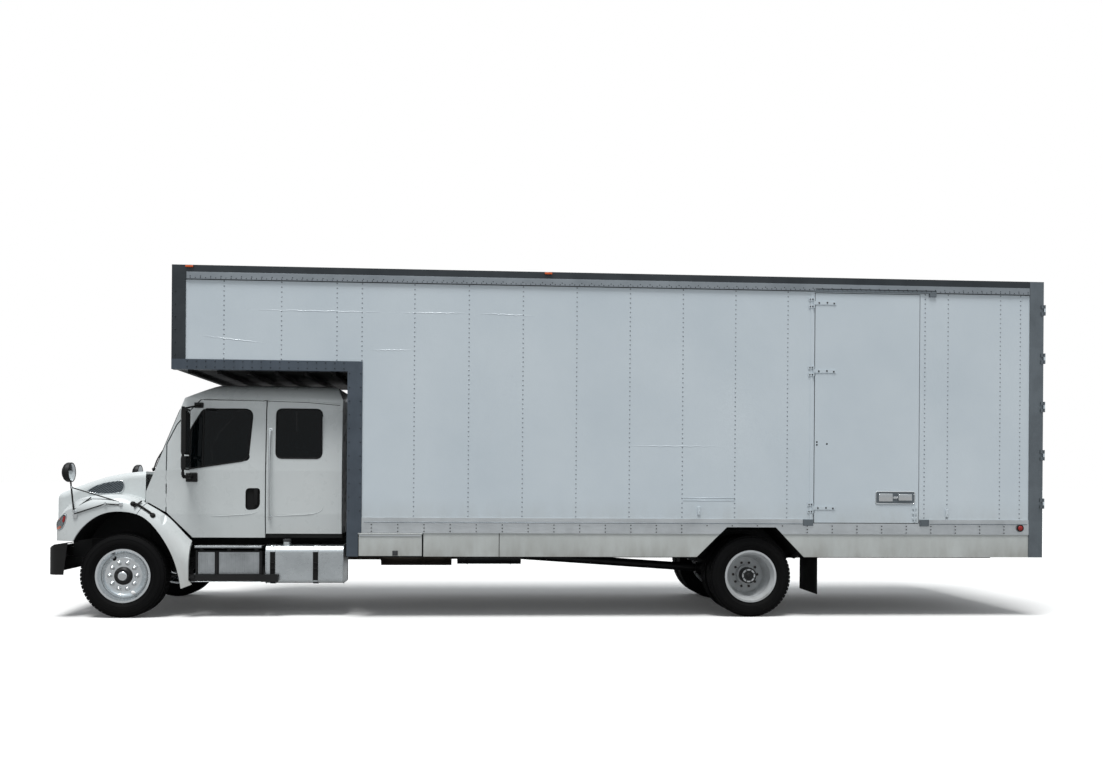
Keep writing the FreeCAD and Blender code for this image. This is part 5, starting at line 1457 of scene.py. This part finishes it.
# inside the cab: padded seats, wheel rim, dash
seatSizes = {
    "middle": 0.52,
    # stations, offsets from the seat's middle, heights, bevel, segments
    "cushion": (((2.44, 1.885), (-0.25, 0.25), (1.235, 1.362), 0.055, 5),
                ((2.42, 1.93), (0.163, 0.247), (1.28, 1.385), 0.036, 4),
                ((2.42, 1.93), (-0.247, -0.163), (1.28, 1.385), 0.036, 4)),
    # corners of the back before it leans, measured from its foot
    "back": (((-0.1, -0.235, 0.0), (0.035, 0.235, 0.585), 0.06, 5),
             ((-0.06, 0.155, 0.05), (0.055, 0.235, 0.55), 0.035, 4),
             ((-0.06, -0.235, 0.05), (0.055, -0.155, 0.55), 0.035, 4),
             ((-0.09, -0.135, 0.6), (0.03, 0.135, 0.775), 0.055, 5)),
    "lean": math.atan2(0.17, 0.74), "foot": (2.375, 1.345), "fill": 0.8,
    "base": (((2.38, 1.96), (-0.19, 0.19), (0.93, 1.21), 0.012, 2),
             ((2.43, 1.9), (-0.235, 0.235), (1.205, 1.242), 0.012, 2),
             ((2.39, 1.95), (-0.2, 0.2), (0.95, 1.0), 0.02, 3),
             ((2.39, 1.95), (-0.2, 0.2), (1.04, 1.09), 0.02, 3),
             ((2.39, 1.95), (-0.2, 0.2), (1.13, 1.18), 0.02, 3)),
    "belt": ((2.36, 0.93, 0.96), (2.37, 0.93, 1.6), (2.35, 0.9, 2.18)), "beltRadius": 0.012}


def addPadding(work, blocks, middle):
    for stations, across, heights, bevel, segments in blocks:
        addSpan(work, stations, [middle + y for y in across], heights, bevel, segments)


def buildSeat(side, sign):
    # rounded cushion and back with a head rest and bolsters, standing for one CAD seat
    size = seatSizes
    middle = sign * size["middle"]
    work = bmesh.new()
    for first, last, bevel, segments in size["back"]:
        shift = Vector((0, middle, 0))
        addBox(work, Vector(first) + shift, Vector(last) + shift, bevel, segments)
    lean = Matrix.Rotation(-size["lean"], 3, "Y")
    bmesh.ops.rotate(work, verts=work.verts, cent=(0, 0, 0), matrix=lean)
    station, rise = size["foot"]
    bmesh.ops.translate(work, verts=work.verts, vec=(atStation(station), 0, rise))
    addPadding(work, size["cushion"], middle)
    piece = addPiece(side + "Seat", work, seatCloth, "chassis")
    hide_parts("seats")
    base = bmesh.new()
    addPadding(base, size["base"], middle)
    addPiece(side + "SeatBase", base, dashVinyl, "chassis")
    belt = bmesh.new()
    spots = [(atStation(station), sign * y, z) for station, y, z in size["belt"]]
    addTube(belt, smoothPath(spots, 0.06), size["beltRadius"], 6)
    addPiece(side + "Belt", belt, seatCloth, "chassis")


dashSizes = {
    # everything is measured forward from the dashboard's rear face
    "hood": ((0.045, 0.36, 1.43), (0.085, 0.68, 1.575), 0.018, 3), "gaugeAhead": 0.0452,
    "gauges": ((0.445, 1.505, 0.045), (0.595, 1.505, 0.045), (0.52, 1.535, 0.022), (0.375, 1.53, 0.016),
               (0.665, 1.53, 0.016)),
    "columns": 4, "rows": 2, "pitchY": 0.075, "pitchZ": 0.07,
    "switch": ((-0.0005, 0.006, 1.5), (0.035, 0.066, 1.545)),
    "panel": ((0.03, -0.62, 1.33), (0.062, -0.22, 1.47), 0.012, 2), "switchBevel": 0.006,
    # outlines of (along, share of the gauge's radius)
    "rim": ((0, 0.9), (0, 1), (0.007, 1), (0.007, 0.9)),
    "dial": ((0, 0), (0, 0.9), (0.003, 0.88), (0.003, 0))}


def buildDash():
    size = dashSizes
    rear = Vector((nodeBox("dashboard")[0].x, 0, 0))

    def addAhead(work, first, last, bevel, segments=2):
        addBox(work, rear + Vector(first), rear + Vector(last), bevel, segments)
    hood, rims, faces, panels = (bmesh.new() for k in range(4))
    addAhead(hood, *size["hood"])
    for y, z, r in size["gauges"]:
        centre = rear + Vector((size["gaugeAhead"], y, z))
        for work, outline in ((rims, size["rim"]), (faces, size["dial"])):
            addLathe(work, [(along, r * share) for along, share in outline], centre, backward, 28)
    for i in range(size["columns"]):
        for j in range(size["rows"]):
            shift = Vector((0, i * size["pitchY"], -j * size["pitchZ"]))
            corners = [Vector(corner) + shift for corner in size["switch"]]
            addAhead(panels, *corners, size["switchBevel"])
    addAhead(panels, *size["panel"])
    addPiece("gaugeHood", hood, dashVinyl, "chassis")
    addPiece("gaugeRims", rims, chromePlate, "chassis")
    addPiece("gaugeFaces", faces, blackRubberAndShade, "chassis")
    addPiece("dashPanels", panels, grillePlastic, "chassis")


for side, sign in sides:
    buildSeat(side, sign)
buildDash()
print("cab inside dressed")


# doors of the body: straps, latches, lock rods, lamps
sideDoorSizes = {
    "skin": 0.006, "rows": (1.256, 2.82, 3.6),
    "strapBolts": ((8.565, 0.0), (8.66, 0.004), (8.74, -0.004)), "strapLift": 0.012,
    "strapBolt": (0.0105, 0.006, 0.7, 8),
    "lugStations": (8.491, 8.463), "lugRise": 0.0405, "lugLift": 0.0085,
    "lugBolt": (0.0085, 0.005, 0.7, 8),
    "holes": ((8.55, 0.0061, 2.01), (8.55, 0.0061, 1.978), (8.667, 0.0061, 1.989)),
    "hole": (0.0105, 0.0012, 0.95, 10),
    "tray": ((9.243, 1.31), (9.243, 1.447), (9.7, 1.447), (9.7, 1.31)), "trayCorner": 0.02,
    "trayThick": 0.0035, "rimLift": 0.004, "rim": 0.006,
    # stations, how far out from the door's skin, heights, bevel, segments
    "paddle": (((9.44, 9.275), (0.0025, 0.018), (1.335, 1.425), 0.012, 3),
               ((9.665, 9.505), (0.0025, 0.022), (1.345, 1.42), 0.01, 3),
               ((9.5, 9.445), (0.0025, 0.012), (1.365, 1.39), 0.004, 1)),
    "hasp": (((9.725, 9.672), (-0.0005, 0.009), (1.126, 1.154), 0.003, 1),
             ((9.725, 9.672), (-0.0005, 0.009), (1.186, 1.214), 0.003, 1),
             ((9.725, 9.672), (-0.0005, 0.009), (1.248, 1.276), 0.003, 1)),
    "pin": (9.7, 0.008, (1.1, 1.29)), "pinRadius": 0.008,
    "gasket": ((8.5235, 1.0885), (8.5235, 3.7115), (9.7465, 3.7115), (9.7465, 1.0885)),
    "gasketSink": 0.007, "gasketRadius": 0.0045}


def addOutward(work, face, blocks):
    for stations, outward, heights, bevel, segments in blocks:
        addSpan(work, stations, [face + lift for lift in outward], heights, bevel, segments)


def buildSideDoorParts():
    size = sideDoorSizes
    face = panelFace + size["skin"]
    body = "side_cargo_door"
    places = [((atStation(s), panelFace + size["strapLift"], z + lift), outLeft)
              for z in size["rows"] for s, lift in size["strapBolts"]]
    addHeads("strapBolts", places, castIron, body, "dark_steel", *size["strapBolt"])
    places = [((atStation(s), panelFace + size["lugLift"], z + rise), outLeft) for z in size["rows"]
              for rise in (-size["lugRise"], size["lugRise"]) for s in size["lugStations"]]
    addHeads("lugBolts", places, castIron, "chassis", "dark_steel", *size["lugBolt"])
    places = [((atStation(s), panelFace + lift, z), outLeft) for s, lift, z in size["holes"]]
    addHeads("oldHoles", places, blackRubberAndShade, body, "dark_steel", *size["hole"])
    tray, paddle, hasp, gasket = (bmesh.new() for k in range(4))
    loop = roundedOutline(size["tray"], size["trayCorner"])
    addPrism(tray, [(atStation(s), face, z) for s, z in loop], (0, size["trayThick"], 0))
    addPiece("paddleTray", tray, galvanisedSteelAndShade, body, False)
    addTube(paddle, [(atStation(s), face + size["rimLift"], z) for s, z in loop], size["rim"], 8, True)
    addOutward(paddle, face, size["paddle"])
    addPiece("paddleLatch", paddle, chromePlate, body, sharp=35)
    addOutward(hasp, face, size["hasp"])
    s, lift, heights = size["pin"]
    addTube(hasp, [(atStation(s), face + lift, z) for z in heights], size["pinRadius"])
    addPiece("doorHasp", hasp, panelEnamel, body, False)
    rim = [(atStation(s), face - size["gasketSink"], z) for s, z in size["gasket"]]
    addTube(gasket, rim, size["gasketRadius"], 6, True)
    addPiece("sideDoorGasket", gasket, blackRubberAndShade, body)


lockerSizes = {
    "sink": 0.012, "drip": ((4.065, 3.378), (-0.001, 0.006), (0.918, 0.938), 0.002, 1),
    "latch": (((3.805, 3.745), (0.0, 0.006), (0.705, 0.76), 0.003, 1),
              ((3.791, 3.759), (0.004, 0.013), (0.71, 0.752), 0.004, 2))}


def buildLockerParts():
    face = nodeBox("locker_lid")[1].y - lockerSizes["sink"]
    for name, blocks, material, slot in (
            ("lockerDrip", [lockerSizes["drip"]], sillExtrusion, "trim_aluminium"),
            ("lockerLatch", lockerSizes["latch"], castIron, "dark_steel")):
        work = bmesh.new()
        addOutward(work, face, blocks)
        addPiece(name, work, material, "locker_lid", False)


rearDoorSizes = {
    "skin": 11.225, "rods": (0.22, 0.78), "rodBehind": 0.009, "rodEnd": 0.03, "rod": 0.0075,
    "guides": (1.2, 1.62, 2.05, 2.6, 3.1, 3.6), "guide": (-0.0165, 0.035, 0.018, 0.004, 1),
    "camEnd": 0.028, "cam": (-0.0165, 0.028, 0.022, 0.006, 2),
    "reach": 0.34, "handleX": (-0.0168, -0.008), "handleZ": (1.49, 1.522),
    "catchShare": 0.82, "catchHalf": 0.03, "catchX": (-0.016, 0.001), "catchZ": (1.46, 1.55),
    "gasketInset": 0.012, "gasketOuter": 1.135, "gasket": 0.006,
    "boltBehind": 0.0125, "boltRows": (1.32, 1.88, 2.44, 3.0, 3.56), "boltColumns": (1.1, 1.155, 1.21),
    "bolt": (0.0085, 0.0045, 0.7, 8)}


def buildRearDoorParts():
    # lock rods with their guides and handles on both leaves, seals and strap bolts
    size = rearDoorSizes
    low, high = nodeBox("left_rear_door")
    skin = atStation(size["skin"])

    def holder(work, y, z, sizes):
        behind, half, rise, bevel, segments = sizes
        addBox(work, (skin + behind, y - half, z - rise), (skin + 0.001, y + half, z + rise), bevel,
               segments)

    def rods(work):
        for y in size["rods"]:
            ends = [(skin - size["rodBehind"], y, z)
                    for z in (low.z + size["rodEnd"], high.z - size["rodEnd"])]
            addTube(work, ends, size["rod"])
            for z in size["guides"]:
                holder(work, y, z, size["guide"])
            for z in (low.z + size["camEnd"], high.z - size["camEnd"]):
                holder(work, y, z, size["cam"])

    def handles(work):
        for y, way in zip(size["rods"], (1, -1)):
            reach = way * size["reach"]
            spot = y + reach * size["catchShare"]
            half = size["catchHalf"]
            bar = size["handleX"], (y, y + reach), size["handleZ"], 2
            catch = size["catchX"], (spot - half, spot + half), size["catchZ"], 1
            for behind, across, heights, segments in (bar, catch):
                addBox(work, *zip([skin + x for x in behind], across, heights), 0.004, segments)
    leaves = ("left_rear_door", "right_rear_door")
    sidePieces("LockRods", rods, galvanisedSteelAndShade, leaves)
    sidePieces("RodHandles", handles, galvanisedSteelAndShade, leaves)
    inset = size["gasketInset"]
    y0, y1, z0, z1 = low.y + inset, size["gasketOuter"], low.z + inset, high.z - inset
    rim = [(skin + 0.001, y, z) for y, z in ((y0, z0), (y0, z1), (y1, z1), (y1, z0))]
    sideTube("RearGasket", rim, size["gasket"], blackRubberAndShade, leaves, 6, True)
    for side, sign in sides:
        places = [((skin - size["boltBehind"], sign * y, z), backward) for z in size["boltRows"]
                  for y in size["boltColumns"]]
        addHeads(side + "StrapBolts", places, castIron, side + "_rear_door", "dark_steel",
                 *size["bolt"])


rearLampSizes = {
    "lampY": (0.98, 0.86, -0.98, -0.86), "lampZ": 1.032,
    "lens": ((0, 0), (0, 0.05), (0.008, 0.048), (0.012, 0.03), (0.0125, 0)),
    "rim": ((0, 0.049), (0, 0.06), (0.009, 0.059), (0.009, 0.049)),
    "markers": (-0.15, 0.0, 0.15, 1.1, -1.1), "markerHalf": 0.035, "markerX": (-0.012, 0.001),
    "markerZ": (3.78, 3.81), "plate": ((-0.006, -0.155, 0.962), (0.0005, 0.155, 1.055)),
    "blocks": (0.62, -0.62), "blockHalf": 0.06, "blockX": (-0.014, 0.002), "blockInset": 0.005}


def buildRearLamps():
    # lamps in the rear sill and header, blank plate, and bumpers on the guard
    size = rearLampSizes
    back = atStation(rearDoorSizes["skin"])
    red, rims, plate, blocks = (bmesh.new() for k in range(4))
    for y in size["lampY"]:
        for work, profile in ((red, size["lens"]), (rims, size["rim"])):
            addLathe(work, profile, (back, y, size["lampZ"]), backward, 32)
    for y in size["markers"]:
        addBox(red, *zip([back + x for x in size["markerX"]],
                         (y - size["markerHalf"], y + size["markerHalf"]), size["markerZ"]), 0.008, 3)
    addBox(plate, *[Vector((back, 0, 0)) + Vector(corner) for corner in size["plate"]], 0.002, 1)
    low, high = nodeBox("rear_guard")
    for y in size["blocks"]:
        addBox(blocks, *zip([low.x + x for x in size["blockX"]],
                            (y - size["blockHalf"], y + size["blockHalf"]),
                            (low.z + size["blockInset"], high.z - size["blockInset"])), 0.01, 2)
    addPiece("rearLamps", red, redLens, "chassis")
    addPiece("rearLampRims", rims, blackRubberAndShade, "chassis")
    addPiece("blankPlate", plate, cabEnamel, "chassis", False)
    addPiece("dockBlocks", blocks, blackRubberAndShade, "chassis", False)


buildSideDoorParts()
buildLockerParts()
buildRearDoorParts()
buildRearLamps()
print("body doors dressed")


# load space, roof and chassis fittings
loadSizes = {
    "boards": 14, "boardEnd": 0.004, "boardGap": 0.002, "boardZ": (0.0005, 0.007), "board": 0.0015,
    # side, from and to station
    "runs": ((1, 10.95, 9.8), (1, 8.47, 3.36), (-1, 10.95, 3.36)), "gap": 0.0005,
    # heights, how far in, half height, bevel
    "slats": (((1.5, 2.1, 2.7, 3.3), 0.018, 0.05, 0.006), ((1.2, 1.34), 0.012, 0.06, 0.003)),
    "bows": 16, "bowEnd": 0.3, "bowHalf": 0.02, "bowInset": 0.004, "bowZ": (-0.028, -0.0005),
    "bow": 0.002}


def buildLoadSpace():
    # plank floor, wall liners with lashing rails, and roof bows
    size = loadSizes
    low, high = nodeBox("body_floor")
    inner = nodeBox("left_wall")[0].y
    planks, slats, bows = (bmesh.new() for k in range(3))
    wide = 2 * inner / size["boards"]
    for i in range(size["boards"]):
        y = i * wide - inner
        addBox(planks, *zip((low.x + size["boardEnd"], high.x - size["boardEnd"]),
                            (y + size["boardGap"], y + wide - size["boardGap"]),
                            [high.z + lift for lift in size["boardZ"]]), size["board"], 1)
    for sign, rear, front in size["runs"]:
        for heights, thick, half, bevel in size["slats"]:
            for z in heights:
                addSpan(slats, (rear, front), (sign * (inner - size["gap"]), sign * (inner - thick)),
                        (z - half, z + half), bevel, 1)
    roofLow, roofHigh = nodeBox("body_roof")
    first, last = roofLow.x + size["bowEnd"], roofHigh.x - size["bowEnd"]
    reach = inner - size["bowInset"]
    for i in range(size["bows"]):
        x = first + (last - first) * i / (size["bows"] - 1)
        addBox(bows, *zip((x - size["bowHalf"], x + size["bowHalf"]), (-reach, reach),
                          [roofLow.z + drop for drop in size["bowZ"]]), size["bow"], 1)
    addPiece("loadFloor", planks, floorOak, "chassis", False)
    addPiece("wallSlats", slats, floorOak, "chassis", False)
    addPiece("roofBows", bows, sillExtrusion, "chassis", False)


rearFittingSizes = {
    # behind the rear axle: from and to, heights, bevel
    "flapAcross": (0.575, 1.21),
    "clips": ((0.779, 0.7735, 0.79, 0.825, 0.002), (0.776, 0.7735, 0.262, 0.286, 0.001)),
    "tank": (4.45, 5.2), "tankY": 0.58, "tankZ": 0.66, "tankRadius": 0.105,
    "hoop": (0.107, 0.006, 24), "hoopInset": 0.12, "hangerHalf": 0.02, "hangerFrom": 0.431,
    "hangerZ": (0.7, 0.78)}


def buildRearFittings():
    # flap stiffeners, and air tanks under the frame with their hoops and hangers
    size = rearFittingSizes
    clips, tanks = bmesh.new(), bmesh.new()
    rear, front = size["tank"]
    for side, sign in sides:
        for back, ahead, low, top, bevel in size["clips"]:
            addBox(clips, *zip((rearAxleX - back, rearAxleX - ahead),
                               [sign * y for y in size["flapAcross"]], (low, top)), bevel, 1)
        y = sign * size["tankY"]
        spots = [(atStation(s), y, size["tankZ"]) for s in (front, rear)]
        addTube(tanks, spots, size["tankRadius"], 28)
        for s in (rear + size["hoopInset"], front - size["hoopInset"]):
            radius, thick, count = size["hoop"]
            hoop = ringPoints(Vector((atStation(s), y, size["tankZ"])), Vector(outLeft), Vector(upward),
                              radius, count)
            addTube(tanks, hoop, thick, 6, True)
            addSpan(tanks, (s - size["hangerHalf"], s + size["hangerHalf"]),
                    (sign * size["hangerFrom"], y), size["hangerZ"], 0.003, 1)
    addPiece("flapClips", clips, castIron, "chassis", False)
    addPiece("airTanks", tanks, chassisPaint, "chassis", sharp=35)


def plankMaterial():
    # laminated hardwood decking: long grain, scuffed pale in the walkway
    material, shader, place = newMaterial("LaminatedHardwood", "8A6A48", 0.6)
    grain = noiseAt(material, place, 30.0, 5.0, 0.6, (0.06, 1, 1))
    wood = blendColours(material, spread(material, grain, 0.35, 0.7), "94734F", "6B5036")
    scuff = spread(material, noiseAt(material, place, 1.4, 5.0), 0.5, 0.75, 0.0, 0.55)
    plug(material, shader, {"Base Color": blendColours(material, scuff, wood, "9A8E7C"),
                            "Normal": bumpFrom(material, grain, 0.001, 0.5)})
    return material


floorOak = plankMaterial()
buildLoadSpace()
buildRearFittings()
print("load space and chassis dressed")


# floor, light and camera
studioSizes = {"floorReach": 150.0, "floorLift": 0.03, "bounce": 0.37,
               "skyStrength": 0.44, "skyColour": (0.94, 0.97, 1.0, 1.0), "horizon": 0.5, "zenith": 1.15,
               "glossColour": (0.93, 0.97, 1.0, 1.0), "rise": (-0.02, 0.75),
               "sunStrength": 2.85, "sunSpread": 22.0, "sunFrom": (0.1, 0.32, 1.0)}
cameraSizes = {"station": 4.7003, "y": 12.9675, "z": 1.5933, "yaw": 0.0694, "roll": 0.0068,
               "sensor": 36.0, "lens": 34.02, "rise": 0.0813, "farthest": 600.0}


def buildFloor():
    # pale floor: plain light brings it to white, and the truck's shadow stays on it.
    # It throws back only the light that a grey yard would
    material, shader, place = newMaterial("PalePaintedFloor", "F6F6F5", 0.9,
                                          **{"Specular IOR Level": 0.1})
    tone = spread(material, noiseAt(material, place, 0.6, 3.0), 0.3, 0.7)
    mixed = blendColours(material, tone, "F8F8F7", "F5F5F4")
    path = addNode(material, "ShaderNodeLightPath")
    grey = blendColours(material, (path, "Is Camera Ray"), "000000", mixed)
    dull = studioSizes["bounce"]
    grey[0].inputs[6].default_value = (dull, dull, dull, 1.0)
    plug(material, shader, {"Base Color": grey})
    glow = addNode(material, "ShaderNodeEmission", {"Strength": studioSizes["floorLift"]})
    none = addNode(material, "ShaderNodeEmission", {"Strength": 0.0})
    seen = addNode(material, "ShaderNodeMixShader", None,
                   {0: (path, "Is Camera Ray"), 1: (none, 0), 2: (glow, 0)})
    both = addNode(material, "ShaderNodeAddShader", None, {0: (shader, 0), 1: (seen, 0)})
    plug(material, material.node_tree.nodes["Material Output"], {"Surface": (both, 0)})
    work = bmesh.new()
    bmesh.ops.create_grid(work, x_segments=2, y_segments=2, size=studioSizes["floorReach"])
    mesh = bpy.data.meshes.new("studioFloor")
    work.to_mesh(mesh)
    work.free()
    mesh.materials.append(material)
    floor = bpy.data.objects.new("studioFloor", mesh)
    bpy.context.scene.collection.objects.link(floor)


def buildWorld():
    # soft light all round, plain white behind the truck, and in its gloss a dark
    # horizon that brightens to an open sky
    world = bpy.data.worlds.new("whiteStudio")
    bpy.context.scene.world = world
    world.use_nodes = True
    soft = world.node_tree.nodes["Background"]
    soft.inputs["Color"].default_value = studioSizes["skyColour"]
    soft.inputs["Strength"].default_value = studioSizes["skyStrength"]
    white = addNode(world, "ShaderNodeBackground", {"Strength": 1.0, "Color": (1.0, 1.0, 1.0, 1.0)})
    place = addNode(world, "ShaderNodeTexCoord")
    split = addNode(world, "ShaderNodeSeparateXYZ", None, {0: (place, "Generated")})
    low, high = studioSizes["rise"]
    rise = addNode(world, "ShaderNodeMapRange",
                   {"From Min": low, "From Max": high, "To Min": studioSizes["horizon"],
                    "To Max": studioSizes["zenith"]}, {"Value": (split, "Z")},
                   interpolation_type="SMOOTHSTEP")
    sky = addNode(world, "ShaderNodeBackground", {"Color": studioSizes["glossColour"]},
                  {"Strength": (rise, "Result")})
    path = addNode(world, "ShaderNodeLightPath")
    source = (soft, 0)
    for kind, ground in (("Is Glossy Ray", sky), ("Is Camera Ray", white)):
        source = (addNode(world, "ShaderNodeMixShader", None,
                          {0: (path, kind), 1: source, 2: (ground, 0)}), 0)
    plug(world, world.node_tree.nodes["World Output"], {"Surface": source})


def buildSun():
    lamp = bpy.data.lights.new("softSun", "SUN")
    lamp.energy = studioSizes["sunStrength"]
    lamp.angle = math.radians(studioSizes["sunSpread"])
    holder = bpy.data.objects.new("softSun", lamp)
    aim = -Vector(studioSizes["sunFrom"])
    holder.rotation_euler = aim.to_track_quat("-Z", "Y").to_euler()
    bpy.context.scene.collection.objects.link(holder)


def buildCamera():
    size = cameraSizes
    view = bpy.data.cameras.new("viewCamera")
    view.sensor_width = size["sensor"]
    view.lens = size["lens"]
    view.shift_y = size["rise"]
    view.clip_end = size["farthest"]
    camera = bpy.data.objects.new("viewCamera", view)
    ahead = Vector((-math.sin(size["yaw"]), -math.cos(size["yaw"]), 0))
    turn = ahead.to_track_quat("-Z", "Y").to_matrix() @ Matrix.Rotation(size["roll"], 3, "Z")
    spot = Matrix.Translation((atStation(size["station"]), size["y"], size["z"]))
    camera.matrix_world = spot @ turn.to_4x4()
    bpy.context.scene.collection.objects.link(camera)
    bpy.context.scene.camera = camera


buildFloor()
buildWorld()
buildSun()
buildCamera()
bpy.context.scene.view_settings.view_transform = "Standard"
print("studio set")
